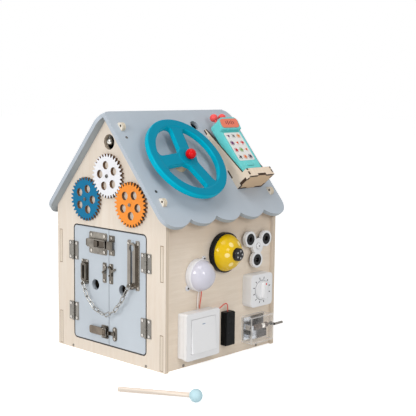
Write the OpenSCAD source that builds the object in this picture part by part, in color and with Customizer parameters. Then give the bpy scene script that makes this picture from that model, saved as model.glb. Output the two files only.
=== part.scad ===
// Wooden busy house: a small gabled play house of birch plywood with a pair
// of doors full of latches, a geared gable, a steering wheel and a toy phone
// on the roof, and a wall of switches, bell, lamp, spinner, timer and music box.
// Millimetres. +Z is up, the doors face -Y, the fitted wall faces +X, and the
// origin is the middle of the house's underside.

/* [House walls] */
// width of the front and back walls
wall_w = 300; // [280:1:330]
// outside depth of the house, front face to back face
wall_d = 300; // [285:1:330]
// height of the front and back walls at their outer edges
wall_h = 274.8; // [265:0.1:300]
// plywood thickness
panel_t = 8; // [6:0.1:8.4]
// how far the front and back walls stand past the side walls
side_inset = 6; // [3:0.5:9]
// height of the tabs that lock the side walls into the front and back
tab_h = 65; // [40:1:80]
// lower end of the bottom tab
tab_low_z = 3; // [2:0.5:20]
// lower end of the top tab
tab_high_z = 163.5; // [120:0.5:190]
// play round a tab in its slot
tab_play = 0.25; // [0.1:0.05:0.5]

/* [Roof] */
// pitch of each roof panel, degrees
roof_pitch = 50; // [45:0.5:52]
// how far the roof passes the front and back walls
roof_reach = 17; // [14:0.5:30]
// distance down the slope from the ridge to the notches of the wavy eave
notch_s = 251; // [240:1:275]
// how far each wave stands past the notches
wave_depth = 13.4; // [8:0.2:18]
// number of waves along an eave
wave_count = 5; // [3:1:9]
// rounding of the ridge corner that points away from the doors on the right
ridge_round = 24; // [10:1:35]
// rounding of the other ridge corner
ridge_nose = 6; // [2:1:12]
// rounding of the eave corners
eave_round = 30; // [15:1:34]
// radius of the half-round lugs that stand out of the roof over the end walls
lug_r = 8.4; // [6:0.1:10]
// radius of the pin hole in a lug
lug_hole_r = 1.8; // [1:0.1:2.5]
// height of the pin hole above the roof
lug_hole_h = 4; // [3:0.1:5]
// lug positions down the slope
lug_s = [45.1, 212];
// radius of the round hole near the ridge
roof_hole_r = 10; // [6:0.5:12]
// hole position: down the slope, along the ridge
roof_hole_at = [46, 44];

/* [Gable] */
// radius of the bell window
window_r = 14.2; // [12:0.1:16]
// height of its centre
window_z = 403.5; // [400:0.5:408]
// outer radius of the jingle bell
jingle_r = 6.8; // [5:0.1:7.5]
// distance from the bell's pivot to its centre
jingle_drop = 8.8; // [8.6:0.1:9.6]
// number of teeth on each gear
gear_teeth = 32; // [24:1:36]
// gear module, pitch diameter over teeth
gear_module = 2.42; // [2.2:0.01:2.44]
// how much each tooth is thinned so that the gears mesh freely
gear_backlash = 0.4; // [0.36:0.01:0.6]
// extra distance between gear centres
gear_play = 0.25; // [0.1:0.05:0.5]
// gear thickness
gear_t = 5; // [3:0.5:6]
// radius of the five round holes in a gear
gear_hole_r = 7.7; // [5:0.1:8.5]
// distance of those holes from the gear's centre
gear_hole_at = 20.2; // [17:0.1:22]
// centre of the middle gear, across and up
gear_mid = [1.8, 341.5];
// slope of the line from the middle gear down to each lower gear, degrees
gear_fall = 37.5; // [34:0.5:42]
// turn of the hole pattern in the white, blue and orange gears, degrees
gear_hole_turn = [101, 1, 60];

/* [Doors] */
// width of the doorway
doorway_w = 203; // [190:1:216]
// sill height of the doorway
sill_z = 22; // [16:0.5:30]
// top of the doorway
head_z = 244; // [238:0.5:248]
// corner radius of the doorway
doorway_r = 9; // [4:0.5:14]
// gap between a leaf and the doorway
leaf_gap = 1.8; // [1.2:0.1:3]
// gap between the two leaves
split_gap = 1.2; // [1:0.1:2]
// radius of the finger holes
finger_r = 10.2; // [8:0.1:11]
// finger hole centre, out from the split and up
finger_at = [38, 133.8];
// hinge height
hinge_h = 35.5; // [32:0.5:46]
// reach of each hinge plate from the pin
hinge_reach = 13.5; // [12:0.1:17]
// distance of a hinge screw from the plate's end
hinge_edge = 4.3; // [3.6:0.1:6]
// hinge centres, up
hinge_z = [74, 192.5];
// knuckle radius
knuckle_r = 2.2; // [1.8:0.1:2.2]
// pin radius
pin_r = 1.05; // [0.8:0.05:1.3]
// running play round a pin or shaft
run_play = 0.05; // [0.03:0.01:0.09]
// sheet steel thickness of the fittings
sheet = 1.2; // [0.8:0.1:1.3]
// gap between moving neighbours
clear = 0.4; // [0.3:0.05:0.5]

/* [Slide bolt] */
// centre height of the bolt
bolt_z = 213.4; // [209:0.1:217]
// length of the guide plate
guide_l = 50; // [44:1:56]
// height of the guide plate
guide_h = 41; // [36:1:46]
// width of the bolt bar
bolt_w = 12.6; // [9:0.1:13]
// thickness of the bolt bar
bolt_t = 4; // [3:0.1:4.2]
// how far the bolt slides to shut
bolt_travel = 18; // [14:1:18]
// width of the keeper across the split
keeper_w = 15.5; // [12:0.5:20]

/* [Door chain] */
// wire radius of a link
link_wire = 1; // [0.8:0.05:1.05]
// half width of a link at the wire's centre
link_half = 3.2; // [3:0.1:3.6]
// distance between joints from link to link
link_pitch = 13.75; // [13.2:0.05:13.8]
// room between the wires of two joined links, centre to centre
link_room = 2.7; // [2.6:0.05:2.9]
// distance of the chain's middle plane from the doors' face
chain_off = 12.2; // [12.1:0.1:14]
// heights at which the left and the right half hang
chain_z = [134.5, 148.5];
// distance of the free end of each half from the split
chain_gap = 2.9; // [2.7:0.1:4]
// slopes of the three left pieces from straight down, before they are spread to meet the split
chain_left_fall = [27, 46, 72];
// slopes of the three right pieces from straight down, before they are spread to meet the split
chain_right_fall = [32.4, 42, 65.5];
// links in each piece, left then right
chain_left_links = [2, 2, 2];
chain_right_links = [3, 2, 2];
// size of the chain track plate
track_size = [32, 91];
// distance of the track plate from the hinge plates
track_gap = 3.7; // [2:0.1:6]
// size of the chain keeper's plate on the left leaf
keeper = [20, 47];
// distance of the keeper's plate from the hinge plates
keeper_gap = 9.6; // [2:0.1:12]
// lower edge of the track plate
track_z = 139; // [136:0.5:142]

/* [Horn latch and toggle] */
// size of each horn latch plate
horn_plate = [10, 38];
// lower edge of the horn latch plates
horn_z = 141; // [139:0.5:146]
// mean radius of the arch that the arm and the horn make
arch_r = 8.5; // [8:0.1:9.2]
// width of the arch
arch_w = 3.5; // [2.5:0.1:4]
// centre height of the toggle
toggle_z = 47.8; // [44:0.1:52]
// length of the toggle lever
lever_l = 43; // [36:0.5:44]

/* [Steering wheel] */
// outer radius of the wheel
wheel_r = 87; // [75:0.5:88]
// width of the rim
rim_w = 18.5; // [14:0.5:22]
// thickness of the wheel
wheel_t = 12; // [8:0.5:13]
// radius of the hub
hub_r = 21; // [17:0.5:24]
// width of a spoke
spoke_w = 24; // [18:0.5:26]
// radius of the fillets where a spoke meets the hub and the rim
spoke_fillet = 7; // [4:0.5:10]
// height of the wooden spacer under the hub
spacer_h = 17.6; // [17:0.1:24]
// radius of the wooden spacer
spacer_r = 13; // [9:0.5:16]
// wheel centre: down the slope, along the ridge
wheel_at = [138.5, -57];
// direction of the wheel's top, degrees from straight down the slope
wheel_turn = 95.5; // [90:0.5:100]
// radius of the ball on the hub
wheel_ball_r = 9.7; // [8:0.1:11]

/* [Phone and holder] */
// holder start and end, down the slope
cradle_s = [60.5, 200];
// holder's left face, along the ridge
cradle_y0 = 61; // [55:0.5:70]
// free width between the cheeks beyond the phone's own
phone_room = 6; // [2:0.5:10]
// plywood thickness of the holder
cradle_t = 4; // [3:0.1:4]
// height of the end stop
cradle_h = 42; // [42:0.5:48]
// depth of the lip that holds the phone's foot
lip_depth = 18; // [12:0.5:20]
// phone length, width and thickness
phone_size = [136, 56, 18];
// length of the phone's head, and its height above the phone's front at the neck and at the top
phone_head = [25, 5.2, 9.6];
// corner radius of the phone
phone_r = 12; // [8:0.5:16]
// radius of the two balls on the phone's top
ear_r = 7.9; // [6:0.1:8.4]

/* [Bell and lamp] */
// bell centre: along the wall, up
bell_at = [3, 200.5];
// radius of the bell's base
bell_base_r = 37.6; // [35:0.1:40]
// height of the bell's base
bell_base_h = 11.2; // [9:0.1:14]
// radius of the bell's dome
bell_r = 34.7; // [32:0.1:35]
// height of the dome
bell_h = 27; // [22:0.1:30]
// radius of the bell's knob
knob_r = 12; // [9:0.1:13]
// how far the knob presses
knob_travel = 3; // [2:0.1:3.2]
// length of the bell knob
knob_l = 12.5; // [11:0.1:13.5]
// depth of its well below the dome's top
knob_well = 10.5; // [8:0.1:11]
// lamp centre: along the wall, up
lamp_at = [-67, 167.5];
// radius of the lamp's base
lamp_base_r = 29.5; // [28:0.1:31]
// height of the lamp's base
lamp_base_h = 14; // [10:0.1:16]
// radius of the lamp's dome
lamp_r = 28.2; // [25:0.1:28.2]
// height of the lamp's dome
lamp_h = 23.6; // [14:0.1:26]

/* [Switch, battery box, timer] */
// side of the square wall switch
switch_side = 86; // [80:1:88]
// depth of the wall switch
switch_depth = 24.4; // [20:0.1:28]
// near lower corner of the switch: along the wall, up
switch_at = [-115.2, 18.1];
// side of the switch's rocker
rocker_side = 62; // [50:1:66]
// thickness of the rocker
rocker_t = 9; // [7:0.5:10]
// how far the rocker's middle stands out of the switch
rocker_lift = 2.7; // [2:0.1:3]
// tilt of the rocker at rest, lower edge out, degrees; it rocks to as much the other way
rocker_tilt = 5; // [3:0.1:5]
// play between the rocker and its well
rocker_play = 0.7; // [0.6:0.05:1]
// battery box: width along the wall, height, depth
battery_size = [25, 64.5, 14];
// near lower corner of the battery box
battery_at = [1, 22.7];
// timer case: side, depth
timer_size = [62.5, 22];
// corner radius of the timer case
timer_r = 8; // [3:0.5:15]
// timer centre: along the wall, up
timer_at = [92.7, 118.8];
// radius of the timer's dial
dial_r = 18.5; // [15:0.5:21]
// width of the grip bar on the dial
grip_w = 9; // [6:0.5:9.5]

/* [Spinner] */
// spinner centre: along the wall, up
spinner_at = [90.6, 203.6];
// distance of each lobe from the centre
lobe_at = 26.8; // [26.6:0.1:28]
// radius of each lobe
lobe_r = 15.3; // [13:0.1:15.4]
// spinner thickness
spinner_t = 7; // [5:0.1:8]
// outer and inner radius of the ring in each lobe
ring_r = [11, 4.8];
// turn of the first lobe, degrees
spinner_turn = 26.5; // [20:0.5:32]

/* [Music box] */
// clear case: length along the wall, height, depth
music_size = [65.5, 52, 26];
// near lower corner of the case
music_at = [59.5, 17];
// radius of the pinned drum
drum_r = 5; // [4:0.1:5.2]
// reach of the crank's arm
crank_arm = 9; // [7:0.1:9.2]

/* [Mallet] */
// end of the stick on the floor: across, along
mallet_end = [163.4, -273.5];
// direction of the stick, degrees
mallet_turn = 21.6; // [10:0.1:35]
// length from the stick's end to the ball's centre
mallet_l = 140.5; // [110:0.5:160]
// stick radius
stick_r = 4.2; // [3:0.1:5]
// ball radius
mallet_ball_r = 11; // [9:0.5:14]

/* [Hidden] */

$fn = 64;
// gap left where two pieces of one body are glued or screwed together
seam = 0.02;
face_y = -wall_d / 2;
side_x = wall_w / 2 - side_inset;
inner_y = wall_d / 2 - panel_t;
peak_z = wall_h + wall_w / 2 * tan(roof_pitch);
ridge_z = peak_z + panel_t / cos(roof_pitch) + seam;
side_h = wall_h + side_inset * tan(roof_pitch) - seam;
roof_s0 = panel_t * tan(roof_pitch) + seam;
roof_half = wall_d / 2 + roof_reach;
pin_x = doorway_w / 2 - leaf_gap / 2;
pin_off = knuckle_r + 0.2;
gear_r = gear_module * gear_teeth / 2;
gear_gap = 2 * gear_r + gear_play;
gear_off = 1.2;
pivot_r = 1.8;
jingle_at = [0, window_z + window_r - 0.4];
link_step = link_pitch - (link_half - link_room / 2);
toggle_pin = [8, 4.2];
bail_pin = [12, 6.4];
music_shaft = [162, 47];

// ---- shared helpers ----

// a plate lying on the doors' side: drawn across and up, standing off by h
module on_front(h, t) translate([0, face_y - h, 0]) rotate([90, 0, 0]) linear_extrude(t) children();

// a plate lying on the fitted side wall: drawn along and up, standing off by h
module on_side(h, t) translate([side_x + h, 0, 0]) rotate([90, 0, 90]) linear_extrude(t) children();

// a round piece standing out of the side wall at (along, up)
module side_round(at, h) translate([side_x + h, at[0], at[1]]) rotate([0, 90, 0]) children();

// the frame of the right roof panel: down the slope, along the ridge, out
module on_roof() translate([0, 0, ridge_z]) rotate([0, roof_pitch, 0]) children();

// rectangle with rounded corners, lower left corner at the origin
module round_box(size, r) {
  translate([r, 0]) square([size[0] - 2 * r, size[1]]);
  translate([0, r]) square([size[0], size[1] - 2 * r]);
  for (x = [r, size[0] - r], y = [r, size[1] - r]) translate([x, y]) circle(r);
}

// the sliver taken off a square corner to round it
module corner_off(r) difference() {
  translate([-1, -1]) square(r + 1);
  translate([r, r]) circle(r);
}

// straight bar between two drawn points
module bar(a, b, w) translate(a) rotate(atan2(b[1] - a[1], b[0] - a[0]))
  translate([0, -w / 2]) square([norm(b - a), w]);

// cross-slotted screw head
module screw(r, h) difference() {
  cylinder(r = r, h = h);
  for (a = [0, 90]) rotate(a) translate([-0.65 * r, -0.17 * r, 0.45 * h]) cube([1.3 * r, 0.34 * r, h]);
}

// screw head on the doors' side at (across, up), standing off by h
module front_screw(at, h, r = 2.4) translate([at[0], face_y - h, at[1]]) rotate([90, 0, 0]) screw(r, 0.8);

// part of a ball above a flat, r wide at the flat and h high
module cap(r, h) let (ball = (r * r + h * h) / (2 * h)) rotate_extrude() intersection() {
  translate([0, h - ball]) circle(ball, $fn = 120);
  square([r, h]);
}

// round bar with softened edges
module soft_disc(r, h, e) rotate_extrude() {
  square([r - e, h]);
  translate([0, e]) square([r, h - 2 * e]);
  for (z = [e, h - e]) translate([r - e, z]) circle(e);
}

// ---- the house ----

// outline of the front and back walls
module gable_shape() polygon([[-wall_w / 2, 0], [wall_w / 2, 0], [wall_w / 2, wall_h], [0, peak_z], [-wall_w / 2, wall_h]]);

// slots that take the side walls' tabs
module tab_slots() for (s = [-1, 1], z = [tab_low_z, tab_high_z])
  translate([s * (side_x - panel_t / 2), z + tab_h / 2]) square([panel_t + 2 * tab_play, tab_h + 2 * tab_play], center = true);

// front wall with the doorway, bell window and screw seats
module front_wall() color([0.91, 0.86, 0.79]) difference() {
  on_front(-panel_t, panel_t) difference() {
    gable_shape();
    tab_slots();
    translate([-doorway_w / 2, sill_z]) round_box([doorway_w, head_z - sill_z], doorway_r);
    translate([jingle_at[0] + 1, window_z]) circle(window_r);
  }
  translate([jingle_at[0], face_y + panel_t / 2, jingle_at[1]]) cylinder(r = 1.1, h = 17);
  for (x = [-105, 100]) translate([x, face_y + 1.2, panel_t / 2]) rotate([90, 0, 0]) cylinder(r = 3, h = 4);
}

// back wall, plain
module back_wall() color([0.91, 0.86, 0.79]) translate([0, wall_d / 2, 0]) rotate([90, 0, 0]) linear_extrude(panel_t) difference() {
  gable_shape();
  tab_slots();
}

// side wall with its four tabs
module side_panel() {
  translate([side_x - panel_t, -inner_y + seam, 0]) cube([panel_t, 2 * (inner_y - seam), side_h]);
  for (z = [tab_low_z, tab_high_z]) translate([side_x - panel_t, -wall_d / 2, z]) cube([panel_t, wall_d, tab_h]);
}
module left_wall() color([0.89, 0.84, 0.76]) mirror([1, 0, 0]) side_panel();
module right_wall() color([0.89, 0.84, 0.76]) difference() {
  side_panel();
  for (y = [-98.5, 104]) side_round([y, panel_t / 2], -1.2) cylinder(r = 3, h = 4);
}

// floor between the walls
module floor_panel() color([0.87, 0.82, 0.73]) let (w = 2 * (side_x - panel_t - seam))
  translate([-w / 2, -inner_y + seam, 0]) cube([w, 2 * (inner_y - seam), panel_t]);

// one wavy-edged roof panel in its own frame
module roof_panel() {
  pitch = 2 * roof_half / wave_count;
  wave_r = (pitch * pitch / 4 + wave_depth * wave_depth) / (2 * wave_depth);
  end_s = notch_s + wave_depth;
  translate([0, 0, -panel_t]) linear_extrude(panel_t) difference() {
    union() {
      translate([roof_s0, -roof_half]) square([notch_s - roof_s0, 2 * roof_half]);
      for (k = [0:wave_count - 1]) intersection() {
        translate([end_s - wave_r, -roof_half + pitch * (k + 0.5)]) circle(wave_r, $fn = 96);
        translate([notch_s - 1, -roof_half]) square([wave_depth + 2, 2 * roof_half]);
      }
    }
    translate([roof_s0, -roof_half]) corner_off(ridge_nose);
    translate([roof_s0, roof_half]) mirror([0, 1]) corner_off(ridge_round);
    for (s = [-1, 1]) translate([end_s, s * roof_half]) mirror([1, 0]) mirror([0, s > 0 ? 1 : 0]) corner_off(eave_round);
  }
}

// screw places on a roof panel, over the edges of the end walls
roof_screws = [for (s = [68.3, 187.6], y = [-146, 146]) [s, y]];
module roof_right() color([0.66, 0.7, 0.74]) on_roof() difference() {
  roof_panel();
  for (p = roof_screws) translate([p[0], p[1], -1.2]) cylinder(r = 3, h = 4);
  translate([roof_hole_at[0], roof_hole_at[1], -panel_t - 1]) cylinder(r = roof_hole_r, h = panel_t + 2);
}
module roof_left() color([0.66, 0.7, 0.74]) rotate(180) on_roof() roof_panel();

// half-round lugs over the end walls, each with its pin hole
module roof_discs() color([0.85, 0.8, 0.7]) on_roof()
  for (s = lug_s, y = [face_y + panel_t, wall_d / 2]) translate([s, y, seam]) rotate([90, 0, 0])
    linear_extrude(panel_t) difference() {
      circle(lug_r);
      translate([-lug_r - 1, -lug_r - 1]) square([2 * lug_r + 2, lug_r + 1]);
      translate([0, lug_hole_h]) circle(lug_hole_r);
    }

// panel screws, gear pivots and the jingle bell's hook
module panel_screws() color([0.55, 0.55, 0.53]) {
  on_roof() for (p = roof_screws) translate([p[0], p[1], seam - 1.2]) screw(2.7, 1.2 - 2 * seam);
  for (x = [-105, 100]) front_screw([x, panel_t / 2], seam - 1.2, 2.7);
  for (y = [-98.5, 104]) side_round([y, panel_t / 2], seam - 1.2) screw(2.7, 0.8);
  for (c = gear_spots) translate([c[0], face_y - seam, c[1]]) rotate([90, 0, 0]) {
    cylinder(r = 5, h = gear_off - clear);
    cylinder(r = pivot_r, h = gear_off + gear_t + clear + 0.4);
    translate([0, 0, gear_off + gear_t + clear]) screw(3.1, 1.8);
  }
  translate([jingle_at[0], face_y + panel_t / 2, jingle_at[1]]) {
    translate([0, 0, -2.75]) rotate([90, 0, 0]) rotate_extrude() translate([2.2, 0]) circle(0.6, $fn = 24);
    translate([0, 0, -0.7]) cylinder(r = 0.6, h = 16);
  }
}

// ---- gable ----

gear_spots = [gear_mid,
  gear_mid + gear_gap * [-cos(gear_fall), -sin(gear_fall)],
  gear_mid + gear_gap * [cos(gear_fall), -sin(gear_fall)]];
// involute of an angle, in degrees
function inv(a) = tan(a) * 180 / PI - a;
base_r = gear_r * cos(20);
tip_r = gear_r + gear_module;
root_r = gear_r - 1.25 * gear_module;
// half angle of a tooth at radius r
function tooth_half(r) = (PI * gear_module / 2 - gear_backlash) / (2 * gear_r) * 180 / PI + inv(20) - inv(acos(base_r / r));
flank = [for (k = [0:4]) base_r + (tip_r - base_r) * k / 4];
function polar(r, a) = [r * cos(a), r * sin(a)];

// involute gear with five round holes; a tooth points along turn
module gear(turn, holes) difference() {
  polygon([for (k = [0:gear_teeth - 1]) let (a = turn + 360 / gear_teeth * k) each concat(
    [polar(root_r, a - tooth_half(base_r) - 0.25)],
    [for (r = flank) polar(r, a - tooth_half(r))],
    [for (j = [4:-1:0]) polar(flank[j], a + tooth_half(flank[j]))],
    [polar(root_r, a + tooth_half(base_r) + 0.25)])]);
  circle(pivot_r + run_play);
  for (k = [0:4]) translate(polar(gear_hole_at, holes + 72 * k)) circle(gear_hole_r);
}
// turn of a lower gear's tooth that meshes with an upright tooth above
function mesh_turn(dir) = 2 * dir + 180 - 180 / gear_teeth - 90;
module white_gear() color([0.93, 0.93, 0.9]) on_front(gear_off, gear_t) translate(gear_spots[0]) gear(90, gear_hole_turn[0]);
module blue_gear() color([0.08, 0.45, 0.65]) on_front(gear_off, gear_t) translate(gear_spots[1]) gear(mesh_turn(180 + gear_fall), gear_hole_turn[1]);
module orange_gear() color([1, 0.6, 0.2]) on_front(gear_off, gear_t) translate(gear_spots[2]) gear(mesh_turn(-gear_fall), gear_hole_turn[2]);

// jingle bell hanging in the gable window by a wire loop
module jingle_bell() color([0.75, 0.72, 0.6]) translate([jingle_at[0], face_y + panel_t / 2, jingle_at[1] - 4.1]) {
  translate([0, 0, -1.35]) rotate([0, 90, 0]) rotate_extrude() translate([2.2, 0]) circle(0.6, $fn = 24);
  translate([0, 0, -jingle_drop]) difference() {
    sphere(jingle_r);
    translate([-jingle_r - 1, -0.6, -jingle_r - 1]) cube([2 * jingle_r + 2, 1.2, jingle_r - 1]);
  }
}

// ---- doors ----

leaf_z0 = sill_z + leaf_gap;
leaf_z1 = head_z - leaf_gap;
leaf_x1 = doorway_w / 2 - leaf_gap;
// one door leaf with its finger hole
module leaf() on_front(-panel_t, panel_t) difference() {
  translate([split_gap / 2, leaf_z0]) square([leaf_x1 - split_gap / 2, leaf_z1 - leaf_z0]);
  translate([leaf_x1, leaf_z0]) mirror([1, 0]) corner_off(doorway_r - leaf_gap);
  translate([leaf_x1, leaf_z1]) mirror([1, 0]) mirror([0, 1]) corner_off(doorway_r - leaf_gap);
  translate(finger_at) circle(finger_r);
}
module right_leaf() color([0.8, 0.84, 0.88]) leaf();
module left_leaf() color([0.8, 0.84, 0.88]) mirror([1, 0, 0]) leaf();

knuckle_gap = 0.35;
knuckle_l = (hinge_h - 4 * knuckle_gap) / 5;
// one half of a butt hinge; way is 1 for the frame half and -1 for the leaf half
module hinge_half(way, own, bore) {
  difference() {
    union() {
      on_front(seam, sheet) {
        translate([way > 0 ? 2.7 : -hinge_reach, 0]) round_box([hinge_reach - 2.7, hinge_h], 1.5);
        for (k = own) translate([way > 0 ? 0 : -3.5, k * (knuckle_l + knuckle_gap)]) square([3.5, knuckle_l]);
      }
      for (k = own) translate([0, face_y - pin_off, k * (knuckle_l + knuckle_gap)]) cylinder(r = knuckle_r, h = knuckle_l);
    }
    if (bore) translate([0, face_y - pin_off, -1]) cylinder(r = pin_r + run_play, h = hinge_h + 2);
  }
  for (z = [hinge_edge, hinge_h - hinge_edge]) front_screw([way * 8.5, z], sheet + seam);
}
module place_hinges(s) for (z = hinge_z) mirror([s < 0 ? 1 : 0, 0, 0]) translate([pin_x, 0, z - hinge_h / 2]) children();

// hinge halves and pins on the front wall
module hinge_frames() color([0.55, 0.53, 0.5]) for (s = [-1, 1]) place_hinges(s) {
  hinge_half(1, [0, 2, 4], false);
  translate([0, face_y - pin_off, -0.6]) {
    cylinder(r = pin_r, h = hinge_h + 1.2);
    for (z = [0, hinge_h + 0.6]) translate([0, 0, z]) cylinder(r = 1.7, h = 0.6);
  }
}
// hinge halves on the leaves
module right_hinge_leaves() color([0.55, 0.53, 0.5]) place_hinges(1) hinge_half(-1, [1, 3], true);
module left_hinge_leaves() color([0.55, 0.53, 0.5]) place_hinges(-1) hinge_half(-1, [1, 3], true);

// ---- slide bolt ----

bolt_in = bolt_w / 2 + clear;
bolt_lift = sheet + clear;
guide_top = bolt_lift + bolt_t + clear;
window_l = bolt_travel + 11;
// guide of the slide bolt on the left leaf
module bolt_guide() color([0.52, 0.5, 0.47]) translate([-4.5 - guide_l, 0, bolt_z]) {
  on_front(seam, sheet) translate([0, -guide_h / 2]) round_box([guide_l, guide_h], 3);
  for (s = [-1, 1]) translate([0, 0, s * (bolt_in + sheet / 2)]) on_front(sheet, guide_top - sheet + seam)
    translate([0, -sheet / 2]) square([guide_l, sheet]);
  on_front(guide_top, sheet) difference() {
    translate([0, -bolt_in - sheet]) square([guide_l, 2 * (bolt_in + sheet)]);
    translate([guide_l - 1.5 - window_l, -bolt_in + 0.4]) square([window_l, 2 * bolt_in - 0.8]);
  }
  for (x = [7, guide_l - 7], z = [-15, 15]) front_screw([x, z], sheet + seam, 2.6);
}
// the bolt with its thumb pad
module slide_bolt() color([0.62, 0.6, 0.57]) translate([-7, 0, bolt_z]) {
  on_front(bolt_lift, bolt_t) {
    translate([-guide_l - 2, -bolt_w / 2]) square([guide_l + 2 - bolt_w / 2, bolt_w]);
    translate([-bolt_w / 2, 0]) circle(bolt_w / 2);
  }
  on_front(bolt_lift + bolt_t - 0.1, 2.4) translate([-window_l + 1.5, -bolt_w / 2 + 1]) round_box([10, bolt_w - 2], 1.5);
}

// ---- door chain ----

// one oval link hanging down from its top arc's centre
module link() let (s = link_pitch + link_room - 2 * link_half) {
  for (z = [0, -s]) translate([0, 0, z]) rotate([90, 0, 0]) difference() {
    rotate_extrude() translate([link_half, 0]) circle(link_wire, $fn = 20);
    translate([-9, z < 0 ? 0.01 : -9 - 0.01, -3]) cube([18, 9, 6]);
  }
  for (x = [-link_half, link_half]) translate([x, 0, -s]) cylinder(r = link_wire, h = s, $fn = 20);
}
// a run of joined links, alternately flat and edge-on; the first run of a
// half chain hangs on its post by the arc's centre
module link_run(n, hung, flat) for (k = [0:n - 1])
  translate([0, 0, (hung ? (k == 0 ? 0 : -link_step - (k - 1) * link_pitch) : -k * link_pitch)
    + (hung && k == 0 ? 0 : link_room / 2 - link_half)]) rotate((k % 2 == 0) == flat ? 0 : 90) link();
function run_l(n, hung) = hung ? link_step + (n - 1) * link_pitch : n * link_pitch;
// how far a half chain reaches across when its slopes are spread by f
function reach(fall, n, f) = [for (k = [0:2]) run_l(n[k], k == 0) * sin(fall[k] * f)] * [1, 1, 1];
// the spread that takes a half chain across by w, found by halving
function spread(fall, n, w, lo = 0.5, hi = 1.25, left = 40) = let (f = (lo + hi) / 2)
  left == 0 ? f : reach(fall, n, f) < w ? spread(fall, n, w, f, hi, left - 1) : spread(fall, n, w, lo, f, left - 1);
chain_left_x = pin_x - hinge_reach - keeper_gap - keeper[0] + 3;
chain_right_x = pin_x - hinge_reach - track_gap - track_size[0] / 2;
chain_left_lean = chain_left_fall * spread(chain_left_fall, chain_left_links, chain_left_x - chain_gap);
chain_right_lean = chain_right_fall * spread(chain_right_fall, chain_right_links, chain_right_x - chain_gap);
// corners of a half chain, across and up, from its post to its free end
function chain_knots(at, lean, n) = let (d = [for (k = [0:2]) run_l(n[k], k == 0) * [-sin(lean[k]), -cos(lean[k])]])
  [at, at + d[0], at + d[0] + d[1]];
left_knots = chain_knots([chain_left_x, chain_z[0]], chain_left_lean, chain_left_links);
right_knots = chain_knots([chain_right_x, chain_z[1]], chain_right_lean, chain_right_links);
// one run of a half chain in place; s is -1 for the left half
module chain_run(k, s) let (p = s < 0 ? left_knots[k] : right_knots[k], n = s < 0 ? chain_left_links : chain_right_links,
    before = k == 0 ? 0 : k == 1 ? n[0] : n[0] + n[1])
  mirror([s < 0 ? 1 : 0, 0, 0]) translate([p[0], face_y - chain_off, p[1]])
    rotate([0, (s < 0 ? chain_left_lean : chain_right_lean)[k], 0]) link_run(n[k], k == 0, before % 2 == 0);
module chain_left_1() color([0.72, 0.7, 0.66]) chain_run(0, -1);
module chain_left_2() color([0.72, 0.7, 0.66]) chain_run(1, -1);
module chain_left_3() color([0.72, 0.7, 0.66]) chain_run(2, -1);
module chain_right_1() color([0.72, 0.7, 0.66]) chain_run(0, 1);
module chain_right_2() color([0.72, 0.7, 0.66]) chain_run(1, 1);
module chain_right_3() color([0.72, 0.7, 0.66]) chain_run(2, 1);

// post that carries the first link of a half chain, from height h outward
module link_post(h, boss) translate([0, face_y - h, 0]) rotate([90, 0, 0]) {
  cylinder(r = boss, h = chain_off - link_wire - clear - h);
  cylinder(r = link_half - link_wire - 0.8, h = chain_off + link_wire + clear + 0.6 - h);
  translate([0, 0, chain_off + link_wire + clear - h]) cylinder(r = 3, h = 1.2);
}

// chain keeper, horn latch plate and toggle base on the left leaf
module left_catches() color([0.52, 0.5, 0.47]) {
  toggle_base();
  translate([-chain_left_x, 0, chain_z[0]]) {
    on_front(seam, sheet) translate([-keeper[0] + 3, -3]) round_box(keeper, 3);
    on_front(sheet, 4.6) difference() {
      translate([-keeper[0] + 6, 3]) round_box([keeper[0] - 6, keeper[1] - 12], 5);
      translate([-keeper[0] + 10, 7]) round_box([6, keeper[1] - 20], 2.9);
    }
    link_post(sheet, 2.6);
    for (p = [[-14, 0], [-14, 41.5], [0, 41.5]]) front_screw(p, sheet + seam, 2);
  }
  on_front(seam, sheet) translate([-16.5, horn_z]) round_box(horn_plate, 2);
  translate([-arch_r - 0.5, face_y - sheet, arch_z - 2]) rotate([90, 0, 0]) {
    cylinder(r = 3.2, h = 2.6);
    cylinder(r = 1.4, h = 6.1);
    translate([0, 0, 2.6 + horn_t + 2 * clear]) cylinder(r = 2.6, h = 0.7);
  }
  for (z = [horn_z + 5, horn_z + horn_plate[1] - 5]) front_screw([-11.5, z], sheet + seam, 2);
}

// ---- horn latch ----

arch_z = 164;
horn_t = 2.4;
// quarter of a ring above the arch's centre, starting off the split
module quarter_arch() intersection() {
  difference() {
    circle(arch_r + arch_w / 2);
    circle(arch_r - arch_w / 2);
  }
  translate([0.7, 0]) square(20);
}
// swinging arm of the horn latch
module horn_arm() color([0.58, 0.56, 0.52]) on_front(sheet + 2.6 + clear, horn_t) difference() {
  union() {
    translate([0, arch_z]) mirror([1, 0]) quarter_arch();
    translate([-arch_r - 0.5, arch_z - 2]) circle(3.2);
    translate([-arch_r - arch_w / 2 + 0.2, arch_z - 2]) square([arch_w - 0.4, 3]);
  }
  translate([-arch_r - 0.5, arch_z - 2]) circle(1.4 + run_play);
}

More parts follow.
